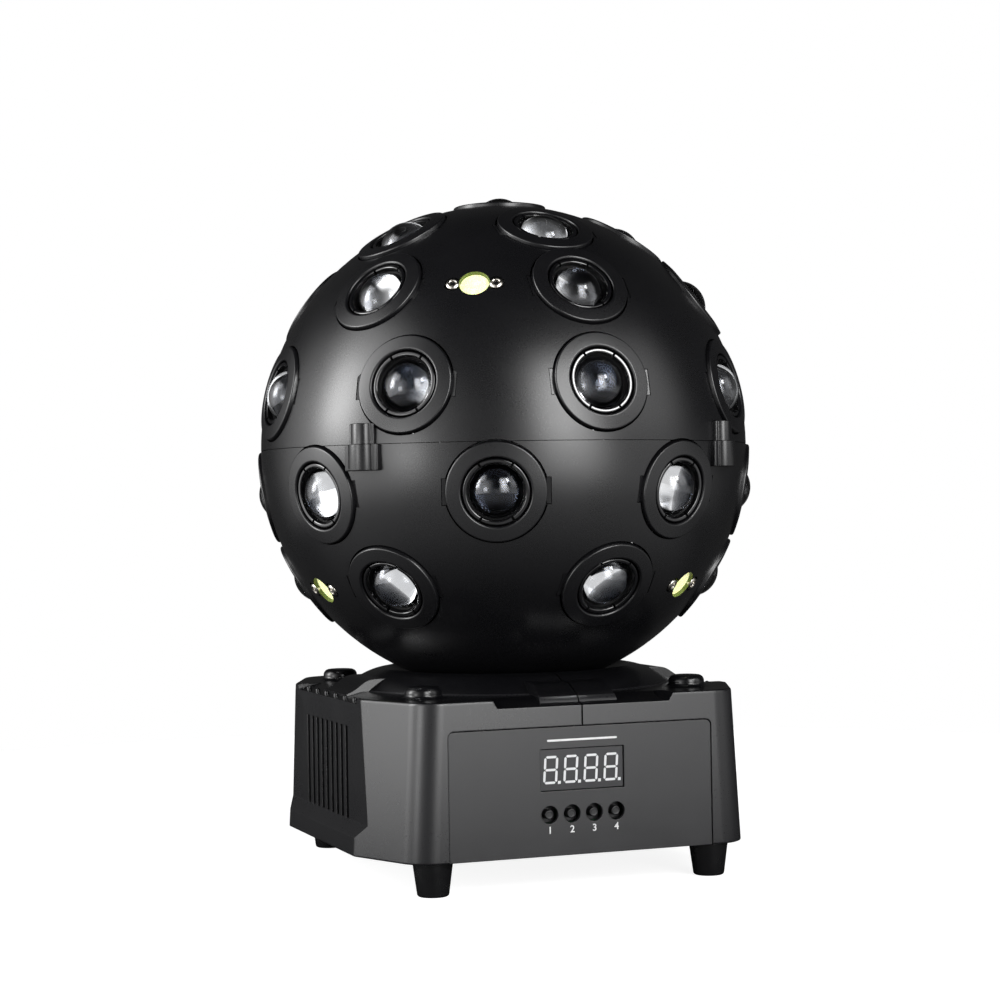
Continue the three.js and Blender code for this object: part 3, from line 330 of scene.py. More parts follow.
def shaped(name, made, finish, smooth=True, crease=38):
    """Turns a bmesh in mm into a mesh in metres, with its finish."""
    data = bpy.data.meshes.new(name)
    bmesh.ops.scale(made, vec=(mm, mm, mm), verts=made.verts)
    bmesh.ops.recalc_face_normals(made, faces=made.faces)
    made.to_mesh(data)
    made.free()
    data.polygons.foreach_set("use_smooth", [smooth] * len(data.polygons))
    if smooth:
        data.set_sharp_from_angle(angle=radians(crease))
    data.materials.append(finish)
    return data


def piece(name, mesh, body, place=None, finish=None, smooth=True, crease=38):
    """A piece that rides on a body: a bmesh in mm with its finish, or a copy of a mesh."""
    if isinstance(mesh, bmesh.types.BMesh):
        data = shaped(name, mesh, finish, smooth, crease)
    else:
        # The turn goes into the points, so that each copy has its own grain and a true box
        data = mesh.copy()
        data.transform(place.to_3x3().to_4x4())
        place = Matrix.Translation(place.translation)
    made = linked(name, data)
    if place is not None:
        made.matrix_world = place
    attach(made, body)
    return made


def rounding(last, here, following, radius):
    """For a rounded corner: the ways to the points beside it, half the angle between them,
    and the middle of its arc."""
    before = (last - here).normalized()
    after = (following - here).normalized()
    half = before.angle(after) / 2
    middle = here + (before + after).normalized() * (radius / sin(half))
    return before, after, half, middle


def turned_by(point, angle):
    """A flat point turned about the origin."""
    c, s = cos(angle), sin(angle)
    return Vector((point.x * c - point.y * s, point.x * s + point.y * c))


def filleted(corners, steps=5):
    """A line through (x, y, radius) corners with each corner rounded to its radius."""
    sharp = [Vector((x, y)) for x, y, _ in corners]
    points = []
    for i, here in enumerate(sharp):
        radius = corners[i][2]
        if not radius:
            points.append(here)
            continue
        before, after, half, middle = rounding(sharp[i - 1], here, sharp[i + 1], radius)
        run = radius / tan(half)
        start = here + before * run - middle
        sweep = start.angle_signed(here + after * run - middle)
        # A point just outside each end of the arc keeps the flats beside it flat in the shading
        outside = run + 0.12 * radius
        points.append(here + before * outside)
        points += [middle + turned_by(start, -sweep * k / steps) for k in range(steps + 1)]
        points.append(here + after * outside)
    return points


def on_circle(radius, turns, x=0, y=0):
    """Points on a circle about (x, y), at turns in radians."""
    return [(x + radius * cos(t), y + radius * sin(t)) for t in turns]


def turned(profile, steps, closed=False):
    """Revolves (radius, height) points about Z."""
    made = bmesh.new()
    turns = [2 * pi * k / steps for k in range(steps)]
    rings = []
    for radius, height in profile:
        if radius < 1e-6:
            rings.append([made.verts.new((0, 0, height))])
        else:
            rings.append([made.verts.new((x, y, height)) for x, y in on_circle(radius, turns)])
    for low, high in zip(rings, rings[1:] + rings[:1] if closed else rings[1:]):
        for k in range(steps):
            n = (k + 1) % steps
            corners = [low[k % len(low)], low[n % len(low)], high[n % len(high)], high[k % len(high)]]
            unique = list(dict.fromkeys(corners))
            if len(unique) > 2:
                made.faces.new(unique)
    return made


def add_walls(made, low, high):
    """Faces between two rings of points."""
    for i in range(len(low)):
        n = (i + 1) % len(low)
        made.faces.new((low[i], low[n], high[n], high[i]))


def prism(points, low, high, axis="z"):
    """A flat outline raised from low to high along an axis."""
    made = bmesh.new()
    order = {
        "x": lambda a, b, h: (h, a, b),
        "y": lambda a, b, h: (a, h, b),
        "z": lambda a, b, h: (a, b, h),
    }[axis]
    bottom = [made.verts.new(order(x, y, low)) for x, y in points]
    top = [made.verts.new(order(x, y, high)) for x, y in points]
    made.faces.new(bottom)
    made.faces.new(top)
    add_walls(made, bottom, top)
    bmesh.ops.recalc_face_normals(made, faces=made.faces)
    return made


def lofted(sections):
    """A closed form through rings of points with the same number of points."""
    made = bmesh.new()
    rings = [[made.verts.new(p) for p in section] for section in sections]
    for low, high in zip(rings, rings[1:]):
        add_walls(made, low, high)
    made.faces.new(rings[0])
    made.faces.new(rings[-1])
    return made


def block(x, y, z):
    """A box between two corners, as (low, high) pairs."""
    return prism([(x[0], y[0]), (x[1], y[0]), (x[1], y[1]), (x[0], y[1])], z[0], z[1])


def scratch(made):
    """A bmesh as an object that is only worked on."""
    bmesh.ops.recalc_face_normals(made, faces=made.faces)
    data = bpy.data.meshes.new("work")
    made.to_mesh(data)
    made.free()
    return linked("work", data)


def baked(shape):
    """The mesh that an object makes with its modifiers, or as a curve."""
    graph = bpy.context.evaluated_depsgraph_get()
    return bpy.data.meshes.new_from_object(shape.evaluated_get(graph))


def carve(base, tools, operation):
    """Joins or cuts a bmesh with others; returns the bmesh of the result."""
    target = scratch(base)
    others = [scratch(tool) for tool in tools]
    for other in others:
        step = target.modifiers.new("step", "BOOLEAN")
        step.operation = operation
        step.solver = "EXACT"
        step.object = other
    data = baked(target)
    made = bmesh.new()
    made.from_mesh(data)
    for used in [target, *others]:
        old = used.data
        bpy.data.objects.remove(used)
        bpy.data.meshes.remove(old)
    bpy.data.meshes.remove(data)
    return made


def drawn(name, curve, finish):
    """The mesh of a curve or a text, with its finish."""
    shape = linked(name, curve)
    data = baked(shape)
    bpy.data.objects.remove(shape)
    data.materials.clear()
    data.materials.append(finish)
    return data


def moved(made, matrix):
    """Moves a bmesh, and returns it."""
    bmesh.ops.transform(made, matrix=matrix, verts=made.verts)
    return made


def merged(parts):
    """Several bmeshes as one, without joining their surfaces."""
    whole = bmesh.new()
    for part in parts:
        data = bpy.data.meshes.new("part")
        part.to_mesh(data)
        part.free()
        whole.from_mesh(data)
        bpy.data.meshes.remove(data)
    return whole


# The ball

def frame_at(turn, elevation):
    """Axes on the ball: X level, Y up along the surface, Z out."""
    a, e = radians(turn), radians(elevation)
    out = Vector((sin(a) * cos(e), -cos(a) * cos(e), sin(e)))
    level = Vector((cos(a), sin(a), 0))
    return Matrix((level, out.cross(level), out)).transposed()


def place_at(turn, elevation):
    """Where a part of the ball goes, turned to face out."""
    return ball_place @ frame_at(turn, elevation).to_4x4()


def bezel_hole():
    """Outline of the shell's hole for a bezel, with its two clip slots."""
    slot_turn = asin(bezel_slot_half / bezel_hole_radius)
    steps = 38
    points = []
    for side, half_round in ((1, 0), (-1, pi)):
        turns = [slot_turn + (pi - 2 * slot_turn) * k / steps + half_round for k in range(steps + 1)]
        points += on_circle(bezel_hole_radius, turns)
        points += [(-side * bezel_slot_reach, side * bezel_slot_half * (1 - k / 4)) for k in range(9)]
    return points


def in_bezel_hole(x, y):
    """Tells whether a point is in that outline."""
    in_slots = abs(x) < bezel_slot_reach and abs(y) < bezel_slot_half
    return in_slots or hypot(x, y) < bezel_hole_radius - 0.02


def strobe_hole(grow=0.0):
    """Outline of a strobe's recess: a round well with a rounded tab for each screw."""
    well, tab = strobe_radius + grow, strobe_tab_radius + grow
    meet = (strobe_tab**2 + well**2 - tab**2) / (2 * strobe_tab)
    well_turn = acos(meet / well)
    tab_turn = acos((meet - strobe_tab) / tab)
    steps = 16
    points = []
    for side, half_round in ((1, 0), (-1, pi)):
        turns = [half_round - tab_turn + 2 * tab_turn * k / steps for k in range(steps)]
        points += on_circle(tab, turns, side * strobe_tab)
        turns = [half_round + well_turn + (pi - 2 * well_turn) * k / steps for k in range(steps)]
        points += on_circle(well, turns)
    return points


def in_strobe_hole(x, y):
    """Tells whether a point is in the outline of a recess."""
    near_tab = min(hypot(x - strobe_tab, y), hypot(x + strobe_tab, y))
    return hypot(x, y) < strobe_radius - 0.02 or near_tab < strobe_tab_radius - 0.02


def shell_holes(up):
    """The holes in one half of the shell. Each has its axes, its outline, a test for what is
    in it, and a distance that it doesn't reach."""
    # The bezels of row d reach over the seam, so both halves have their holes
    holes = [
        (frame_at(turn, elevation), bezel_hole(), in_bezel_hole, 21)
        for row, _, turn, elevation in spots
        if (elevation > 0) == (up > 0) or row == "d"
    ]
    return holes + [
        (frame_at(turn, elevation), strobe_hole(), in_strobe_hole, 13)
        for turn, elevation in strobe_places
        if (elevation > 0) == (up > 0)
    ]


def in_hole(point, holes):
    """Tells whether a point on the ball is in a hole."""
    for axes, _, inside, reach in holes:
        x, y, z = axes.transposed() @ point
        if z > 0 and hypot(x, y) < reach and inside(x, y):
            return True
    return False


def near_hole(point, holes):
    """Tells whether a point on the ball is in a hole or close to its outline."""
    clearance = 1.5
    for axes, _, inside, reach in holes:
        x, y, z = axes.transposed() @ point
        away = hypot(x, y)
        if z < 0 or away >= reach:
            continue
        inward = (x * (away - clearance) / away, y * (away - clearance) / away)
        tries = [inward, (x, y * 0.75), (x - clearance, y), (x + clearance, y)]
        if away < 2 * clearance or any(inside(*beside) for beside in tries):
            return True
    return False


def shell_points(up, holes):
    """Points on one half of the ball: the holes' outlines, the seam's edge, and points between
    them on a spiral, 3.2 mm apart and clear of the seam and of every outline."""
    edge = seam_gap / 2
    points = []
    for axes, outline, _, _ in holes:
        for x, y in outline:
            point = axes @ Vector((x, y, sqrt(ball_radius**2 - x * x - y * y)))
            if point.z * up > edge + 0.05:
                points.append(point)
    rim = sqrt(ball_radius**2 - edge**2)
    count = 480
    for x, y in on_circle(rim, [2 * pi * k / count for k in range(count)]):
        point = Vector((x, y, edge * up))
        if not in_hole(point, holes):
            points.append(point)
    total = 9000
    for k in range(total):
        z = 1 - (2 * k + 1) / total
        if z * up < 2.2 / ball_radius:
            continue
        flat = sqrt(1 - z * z)
        turn = k * pi * (3 - sqrt(5))
        point = Vector((flat * cos(turn), flat * sin(turn), z)) * ball_radius
        if not near_hole(point, holes):
            points.append(point)
    return points


def shell_skin(up):
    """The corners of small triangles that cover one half of the ball, but not its holes."""
    holes = shell_holes(up)
    hull = bmesh.new()
    for point in shell_points(up, holes):
        hull.verts.new(point)
    bmesh.ops.convex_hull(hull, input=hull.verts)
    skin = []
    for face in hull.faces:
        middle = face.calc_center_median()
        across_hole = middle.length < ball_radius - 1.2
        if not across_hole and not in_hole(middle * (ball_radius / middle.length), holes):
            skin.append([v.co.copy() for v in face.verts])
    hull.free()
    return skin


def shell_half(up):
    """One half of the ball's shell: its outer skin, its inner skin, and the walls of the seam
    and of the holes, each with its own normals."""
    where, coords = {}, []

    def number(point, inner):
        key = (round(point.x, 4), round(point.y, 4), round(point.z, 4), inner)
        if key not in where:
            where[key] = len(coords)
            scale = (ball_radius - shell_wall) / ball_radius if inner else 1
            coords.append(point * scale)
        return where[key]

    faces, normals, sides = [], [], {}
    for a, b, c in shell_skin(up):
        if (b - a).cross(c - a).dot(a) < 0:
            b, c = c, b
        outer = [number(p, False) for p in (a, b, c)]
        inner = [number(p, True) for p in (a, c, b)]
        faces += [outer, inner]
        normals += [p.normalized() for p in (a, b, c)] + [-p.normalized() for p in (a, c, b)]
        for p, q in ((a, b), (b, c), (c, a)):
            sides[(number(p, False), number(q, False))] = (p, q)
    for (i, j), (p, q) in sides.items():
        if (j, i) in sides:
            continue
        quad = [j, i, number(p, True), number(q, True)]
        across_wall = (coords[i] - coords[j]).cross(coords[quad[2]] - coords[j]).normalized()
        faces.append(quad)
        normals += [across_wall] * 4
    data = bpy.data.meshes.new("ball_shell")
    data.from_pydata([v * mm for v in coords], [], faces)
    data.polygons.foreach_set("use_smooth", [True] * len(faces))
    data.normals_split_custom_set(normals)
    data.materials.append(shell_black)
    return data


for up, name in ((1, "upper"), (-1, "lower")):
    half = piece(f"{name}_ball_shell", shell_half(up), "ball", ball_place)
    # Keeps the shell's small flat triangles from showing at the edge of long shadows
    half.shadow_terminator_geometry_offset = 0.3
    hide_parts(f"{name}_shell")


def sagged(radius):
    """Height of the bezels' domed face at a distance from a bezel's middle."""
    return sqrt(bezel_face_radius**2 - radius**2)


# A lens ring's top is a little below the bezel's face
ring_top = sagged(10.6) - 0.75


def bezel():
    """Clip-in bezel: a domed ring with a rounded rim and a rounded bore, and two clip arms."""
    inner, rim_foot, bore_foot = 13.2, 87.2, 84.6
    face = [(radius, sagged(radius), 0) for radius in (15.9, 15.1, 14.2, inner)]
    profile = filleted([
        (bezel_radius, rim_foot, 0), (bezel_radius, sagged(bezel_radius), 0.55), *face,
        (bezel_bore, sagged(bezel_bore), 0.7), (bezel_bore, bore_foot, 0),
        (inner, bore_foot, 0), (inner, rim_foot, 0),
    ], 6)
    parts = [turned(profile, 96, closed=True)]
    for side in (-1, 1):
        parts.append(block(sorted((side * 16.9, side * 18.3)), (-4.45, 4.45), (84.4, 87.9)))
        parts.append(block(sorted((side * 16.5, side * 20.4)), (-6.5, 6.5), (82.8, 84.4)))
    return merged(parts)


def lens_holder():
    """Black cup behind the lens, which leads to its colour LED."""
    wall = [(9.16, 87.0), (9.4, 87.0), (9.4, 79.4), (0, 79.4), (0, 79.8), (lens_radius, 79.8)]
    return turned(wall, 48, closed=True)


def lens_ring():
    """Glossy ring that holds the lens, on the black seat that slopes in to the lens. Four small
    gaps cut it, 31 degrees to the left and right of its top and its bottom."""
    outer, inner, foot = 11.35, 9.95, 84.8
    profile = filleted([
        (outer, foot, 0), (outer, ring_top, 0.45), (inner, ring_top, 0.5), (9.85, ring_top - 1.9, 0),
        (9.3, 87.6, 0.2), (seat_radius, 87.2, 0), (seat_radius, foot, 0),
    ], 5)
    gaps = []
    for turn in (59, 121, 239, 301):
        gap = block((9.6, 12), (-0.45, 0.45), (ring_top - 1.5, ring_top + 1))
        gaps.append(moved(gap, Matrix.Rotation(radians(turn), 4, "Z")))
    return carve(turned(profile, 96, closed=True), gaps, "DIFFERENCE")


def lens_dome():
    """Flat-backed domed lens."""
    radius, apex, back, steps = 9.9, 93.2, 85.6, 14
    middle = apex - radius
    lean = asin(lens_radius / radius)
    turns = [lean * k / steps for k in range(steps + 1)]
    arc = [(radius * sin(t), middle + radius * cos(t)) for t in turns]
    return turned(arc + [(lens_radius, back), (0, back)], 72)


def led_mask():
    """Thin disc behind the lens."""
    return turned([(0, 85.4), (9, 85.4), (9, 85.0), (0, 85.0)], 48)


bezel_mesh = shaped("work_bezel", bezel(), bezel_black)
holder_mesh = shaped("work_cup", lens_holder(), lens_edge_black)
mask_mesh = shaped("work_plate", led_mask(), mask_black)
ring_mesh = shaped("work_ring", lens_ring(), ring_black)
ring_mesh.materials.append(lens_edge_black)
for face in ring_mesh.polygons:
    face.material_index = int(face.center.z < (ring_top - 0.25) * mm)
dome_mesh = shaped("work_dome", lens_dome(), acrylic)
dome_mesh.materials.append(lens_edge_black)
dome_mesh.materials.append(bare_acrylic)
for face in dome_mesh.polygons:
    face.material_index = 1 if abs(face.normal.z) < 0.05 else 2 if face.normal.z < -0.9 else 0
for row, number, turn, elevation in spots:
    place = place_at(turn, elevation)
    piece(f"bezel_{row}_{number}", bezel_mesh, "ball", place)
    piece(f"lens_ring_{row}_{number}", ring_mesh, "ball", place)
    piece(f"lens_holder_{row}_{number}", holder_mesh, "ball", place)
    piece(f"led_mask_{row}_{number}", mask_mesh, "ball", place)
    dome = piece(f"lens_dome_{row}_{number}", dome_mesh, "ball", place)
    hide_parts(f"lens_{row}_{number}")


def strobe_seat():
    """Floor of a strobe's recess."""
    return prism(strobe_hole(0.4), 86.2, 87.9)


def strobe_led():
    """The LED's flat cast face, with a slightly rounded edge."""
    face, foot = 88.5, 87.6
    line = [(0, face, 0), (led_radius, face, 0.25), (led_radius, foot, 0), (0, foot, 0)]
    return turned(filleted(line, 3), 48)


def strobe_rim():
    """Thin wall round the LED's face."""
    wall = [(led_radius, 87.6), (5.42, 87.6), (5.42, 89.7), (5.28, 89.7), (5.18, 88.5)]
    return turned(wall, 48, closed=True)


def strobe_screw():
    """Pan head with a deep recess in its middle."""
    head, foot = 2.35, 87.8
    line = filleted([
        (0, 88.6, 0), (0.9, 88.9, 0), (1.15, 89.9, 0.12), (1.6, 90.15, 0.3), (head, 89.6, 0.5),
        (head, foot, 0), (0, foot, 0),
    ], 4)
    return turned(line, 32)


def screw_shade():
    """Painted shade: a dark disc in the screw's recess, standing in for its shadow."""
    return turned([(0, 89.05), (0.98, 89.2), (0.98, 88.7), (0, 88.7)], 24)


seat_mesh = shaped("work_seat", strobe_seat(), bezel_black)
led_mesh = shaped("work_led", strobe_led(), phosphor)
# The wall's olive colour is painted shade and a painted reflection of the phosphor
led_rim_mesh = shaped("work_rim", strobe_rim(), led_wall_shade_and_reflection)
screw_mesh = shaped("work_screw", strobe_screw(), screw_nickel)
screw_shade_mesh = shaped("work_shade", screw_shade(), lens_edge_black)
for i, (turn, elevation) in enumerate(strobe_places):
    place = place_at(turn, elevation)
    piece(f"strobe_seat_{i + 1}", seat_mesh, "ball", place)
    piece(f"strobe_led_{i + 1}", led_mesh, "ball", place)
    piece(f"strobe_led_rim_{i + 1}", led_rim_mesh, "ball", place)
    for side, end in ((-1, "left"), (1, "right")):
        beside = place @ shifted(side * strobe_tab)
        piece(f"strobe_screw_{end}_{i + 1}", screw_mesh, "ball", beside)
        # A disc of painted shade in each screw's recess
        piece(f"strobe_screw_recess_{end}_{i + 1}", screw_shade_mesh, "ball", beside)


def seam_boss(radius, width, height, proud, up):
    """Screw boss: a half-round post on a pad, seen from above as one outline."""
    out, half = ball_radius + proud, width / 2
    inner, beside = ball_radius - 1.4, -radius + 0.1
    pad = filleted([(-half, inner, 0), (-half, out, 0.5), (beside, out, 0.35), (beside, out + 0.6, 0)], 3)
    steps = 18
    turns = [pi * k / steps for k in range(2, steps - 1)]
    post = [(-radius * cos(t), out - 0.2 + radius * 0.78 * sin(t)) for t in turns]
    outline = pad + post + [(-x, y) for x, y in reversed(pad)]
    top = height * up
    low, high = sorted((seam_gap / 2 * up, top))
    made = prism([(x, -y) for x, y in outline], low, high)
    rims = [e for e in made.edges if all(abs(v.co.z - top) < 1e-6 for v in e.verts)]
    bmesh.ops.bevel(made, geom=rims, offset=0.35, segments=3, profile=0.5, affect="EDGES", clamp_overlap=True)
    return made


upper_boss = {"radius": 3.8, "width": 10, "height": 7.1, "proud": 1.2, "up": 1}
lower_boss = {"radius": 4.7, "width": 13.6, "height": 9, "proud": 1.6, "up": -1}
for i, turn in enumerate(boss_turns):
    place = ball_place @ Matrix.Rotation(radians(turn), 4, "Z")
    for name, sizes in (("upper", upper_boss), ("lower", lower_boss)):
        piece(f"{name}_seam_boss_{i + 1}", seam_boss(**sizes), "ball", place, shell_black)


# The base

def inset_line(points, distance):
    """A closed line with each of its sides moved inwards."""
    inner = []
    for i, point in enumerate(points):
        arriving = (point - points[i - 1]).normalized()
        leaving = (points[(i + 1) % len(points)] - point).normalized()
        bisector = Vector((-arriving.y - leaving.y, arriving.x + leaving.x))
        inner.append(point + bisector * (distance / (1 + arriving.dot(leaving))))
    return inner


def base_outline(inwards, z):
    """The base's outline at a height: a rectangle whose corners are cut off, each cut with a
    small radius towards the sides and a large one towards the front or the back."""
    side, end = (half_width, 41.8), (60.1, half_depth)
    half_round = [(side, 1, -1), (side, 1, 1), (end, 1, 1), (end, -1, 1)]
    sharp = [Vector((x * sx * turn, y * sy * turn)) for turn in (1, -1) for (x, y), sx, sy in half_round]
    line = inset_line(sharp, inwards)
    outline = []
    for i, here in enumerate(line):
        radius, steps = (3.5 - inwards, 5) if i % 4 < 2 else (12 - inwards, 14)
        before, _, half, middle = rounding(line[i - 1], here, line[(i + 1) % 8], radius)
        start = here + before * (radius / tan(half)) - middle
        sweep = pi - 2 * half
        outline += [middle + turned_by(start, sweep * k / steps) for k in range(steps + 1)]
    rise = max(0, z - foot_height) / (deck_z - foot_height)
    squeeze = 1 + (half_width_top / half_width - 1) * rise
    return [(p.x * squeeze, p.y, z) for p in outline]


def smooth_line(points):
    """Cuts the corners of a line twice, keeping its ends."""
    for _ in range(2):
        line = [points[0]]
        for (ax, ay), (bx, by) in zip(points, points[1:]):
            line.append((ax * 0.75 + bx * 0.25, ay * 0.75 + by * 0.25))
            line.append((ax * 0.25 + bx * 0.75, ay * 0.25 + by * 0.75))
        points = line + [points[-1]]
    return points


def rounded_top(half, low, top, radius):
    """An upright outline, round at its upper corners."""
    turns = [pi / 2 * k / 6 for k in range(7)]
    arc = on_circle(radius, turns, half - radius, top - radius)
    return [(-half, low), (half, low)] + arc + [(-x, z) for x, z in reversed(arc)]


def cover_walls():
    """Both cover halves as one solid with leaning sides and a rounded upper edge."""
    round_edge = 0.8
    turns = [pi / 2 * k / 4 for k in range(5)]
    levels = [
        (0.5, foot_height), (0.15, foot_height + 0.15), (0, foot_height + 0.5),
        (0, foot_height + 1), (0, deck_z - 1.1),
    ]
    levels += [(round_edge * (1 - cos(t)), deck_z - round_edge * (1 - sin(t))) for t in turns]
    return lofted([base_outline(inwards, z) for inwards, z in levels])


def notch(edge, half, slant, depth):
    """Cutter for the notch in an edge of the deck; its floor slopes down outwards."""
    end, run = half + slant, 9
    sections = []
    for out, low in ((-run, -2 * depth), (run, 0)):
        outline = [(-half, low), (half, low), (end, 0.01), (end, run), (-end, run), (-end, 0.01)]
        sections.append([(x, out - edge, deck_z + z) for x, z in outline])
    return lofted(sections)


def deck_ring():
    """Ring round the ball, which rises from the deck in a hollow slope."""
    foot = 61
    skirt = smooth_line([(foot, -1), (59.6, 0.6), (54.9, 3.8), (50.25, 5.81), (crest_radius, crest_height)])
    top = crest_height - 0.05
    line = [(0, -4), (foot, -4)] + skirt + [(crest_radius - 0.8, top), (0, top)]
    return moved(turned(line, 160), Matrix.Translation((0, 0, deck_z)))


def rib(edge, depth, end):
    """Rib from the ring to an edge of the deck. The points of its line are shares of its run
    and of its height over the notch's floor."""
    reach, rise, half = edge - 2.4, crest_height + depth, 14
    run = reach - crest_radius
    shares = [(1, 0.0), *end, (0.57, 0.74), (0.3, 0.76), (0, 0.77)]
    slope = smooth_line([(-(crest_radius + run * out), up * rise - depth) for out, up in shares])
    line = [(-20, -6), (-reach - 1.5, -6), (-reach - 1.5, -depth)] + slope + [(-20, 0.77 * rise - depth)]
    made = prism([(y, deck_z + z) for y, z in line], -half, half, "x")
    # The ribs' sides lean in by ten degrees, and so mirror the lamps
    for corner in made.verts:
        corner.co.x *= 1 - (corner.co.z - deck_z) * tan(radians(10)) / half
    return made


def corner_cap():
    """Low round cap with a flare at its foot."""
    line = [(0, 4.1, 0), (6.5, 4.0, 2.2), (6.4, 0.4, 1.2), (8.9, -0.05, 0), (8.9, -1.5, 0), (0, -1.5, 0)]
    return turned(filleted(line, 6), 48)


def cover_openings():
    """What is cut out of the covers: room for the ball, the inside, the shaft's hole, ledges
    and vents at the sides, windows for both panels, and the gap between the halves."""
    turns = [pi * k / 80 for k in range(81)]
    dish = turned([(dish_radius * sin(t), -dish_radius * cos(t)) for t in turns], 160)
    inside = half_width_top - cover_wall
    levels = ((foot_height, 9), (foot_height + 1, 0), (deck_z - 9, 0))
    cavity = lofted([
        [(max(-inside, min(inside, x)), y, z - down) for x, y, z in base_outline(cover_wall, level)]
        for level, down in levels
    ])
    shaft_hole = turned([(0, 30), (14, 30), (14, deck_z + 2), (0, deck_z + 2)], 48)
    cuts = [moved(dish, Matrix.Translation(ball_middle)), cavity, shaft_hole]
    vent_pitch, vent_half, vent_low, vent_high = 6.1, 1.5, 22.9, 55.5
    ledge = [(70.1, vent_low), (73.5, 17.7), (82, 17.7), (82, 90), (70.1, 90)]
    for side in (-1, 1):
        cuts.append(prism([(side * x, z) for x, z in ledge], -72, 72, "y"))
        for k in range(9):
            y = (k - 4) * vent_pitch
            width = (y - vent_half, y + vent_half)
            cuts.append(block(sorted((side * 64, side * 76)), width, (vent_low, vent_high)))
    for side in (-1, 1):
        low, high = sorted((side * 66, side * 80))
        cuts.append(prism(rounded_top(48.92, 2, 56.2, 2.3), low, high, "y"))
    cuts.append(block((-0.22, 0.22), (-90, 90), (0, 90)))
    return cuts


def base_covers():
    """Both cover halves: drafted walls, deck with its ring, ribs, caps, notches, vents."""
    # Front and back, then left and right: the edge's place, the notch's half length, slant and
    # depth, and the outer end of the rib's line
    front = (half_depth, 31, 3.6, 3, [(0.95, 0.26), (0.87, 0.4), (0.75, 0.55)])
    flank = (half_width_top, 37, 1.2, 2.1, [(0.95, 0.2), (0.86, 0.26), (0.73, 0.46)])
    notches, parts = [], [deck_ring()]
    for k, (edge, half, slant, depth, end) in enumerate((front, flank, front, flank)):
        spin = Matrix.Rotation(pi / 2 * k, 4, "Z")
        notches.append(moved(notch(edge, half, slant, depth), spin))
        parts.append(moved(rib(edge, depth, end), spin))
    for sx, sy in four_corners:
        parts.append(moved(corner_cap(), Matrix.Translation((sx * cap_reach, sy * cap_reach, deck_z))))
    body = carve(cover_walls(), notches, "DIFFERENCE")
    body = carve(body, parts, "UNION")
    return carve(body, cover_openings(), "DIFFERENCE")


covers = base_covers()
for side, name in ((-1, "left"), (1, "right")):
    half = covers.copy()
    other = [v for v in half.verts if v.co.x * side < 0]
    bmesh.ops.delete(half, geom=other, context="VERTS")
    made = piece(f"base_cover_{name}", half, "base", None, cover_grey, crease=21)
    even = made.modifiers.new("even_flats", "WEIGHTED_NORMAL")
    even.keep_sharp = True
    # The deck, its notches' floors and all that stands on it: polished finish, painted darker as shade
    made.data.materials.append(deck_gloss_and_shade)
    for face in made.data.polygons:
        above = face.center.z > (deck_z + 0.3) * mm
        level = face.normal.z > 0.75 and face.center.z > (deck_z - 3.3) * mm
        face.material_index = int(above or level)
    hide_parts(f"cover_{name}")
covers.free()


def notch_pip():
    """Small round-topped pip, one of a row along each side notch."""
    return turned(filleted([(0, 1.7, 0), (0.8, 1.7, 0.7), (0.9, -0.6, 0), (0, -0.6, 0)], 4), 24)


pip_x, pip_pitch, pip_foot = 68.3, 11.7, deck_z - 2.1
for side, name in ((-1, "left"), (1, "right")):
    for i in range(6):
        place = shifted(side * pip_x, (i - 2.5) * pip_pitch, pip_foot)
        piece(f"notch_pip_{name}_{i + 1}", notch_pip(), "base", place, pip_black)


def plate(name, outline, holes, edge, place):
    """A punched sheet with a small rounded edge round its outline and its holes."""
    data = bpy.data.curves.new(name, "CURVE")
    data.dimensions = "2D"
    data.fill_mode = "BOTH"
    data.extrude = (sheet / 2 - edge) * mm
    data.bevel_depth = edge * mm
    data.bevel_resolution = 2
    data.offset = -edge * mm
    for line in [outline, *holes]:
        spline = data.splines.new("POLY")
        spline.points.add(len(line) - 1)
        spline.use_cyclic_u = True
        for point, (x, y) in zip(spline.points, line):
            point.co = (x * mm, y * mm, 0, 1)
    flat = drawn(name, data, panel_coat)
    flat.set_sharp_from_angle(angle=radians(38))
    return piece(name, flat, "base", place)


def round_hole(radius, x, y):
    """Outline of a round hole about (x, y)."""
    steps = 48
    return on_circle(radius, [2 * pi * k / steps for k in range(steps)], x, y)


def soft_box(width, height, x, y, radius, steps=5):
    """A rectangle about a middle, with rounded corners."""
    line = []
    for sx, sy, first in ((1, 1, 0), (-1, 1, 90), (-1, -1, 180), (1, -1, 270)):
        turns = [radians(first + 90 * k / steps) for k in range(steps + 1)]
        line += on_circle(radius, turns, x + sx * (width / 2 - radius), y + sy * (height / 2 - radius))
    return line


def upright(y, side=-1):
    """Lays a flat piece upright: its X along the panel, its Y up, facing -Y or +Y."""
    facing = Matrix(((1, 0, 0, 0), (0, 0, -1, y * mm), (0, 1, 0, 0), (0, 0, 0, 1)))
    turned_round = Matrix(((-1, 0, 0, 0), (0, 0, 1, y * mm), (0, 1, 0, 0), (0, 0, 0, 1)))
    return facing if side < 0 else turned_round


panel_line = rounded_top(48.8, foot_height, 55.9, 2)
window = soft_box(31.1, 14.4, 0, window_middle, 0.35, 3)
button_holes = [round_hole(3.07, x, button_z) for x in button_xs]
front_place = upright(panel_y + sheet / 2)
front_panel = plate("control_panel", panel_line, [window, *button_holes], 0.16, front_place)
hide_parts("chassis")

inlet_hole = soft_box(27.6, 20.4, 0, socket_middle, 1)
data_holes = [round_hole(10.8, x, socket_middle) for x in (-31, 31)]
plate("socket_panel", panel_line, [inlet_hole, *data_holes], 0.28, upright(-panel_y - sheet / 2, 1))
floor_line = [(x, y) for x, y, _ in base_outline(2.5, foot_height)]
plate("floor_plate", floor_line, [], 0.28, shifted(z=foot_height + sheet / 2))


# Display: dark filter, four digits of seven segments and a point each

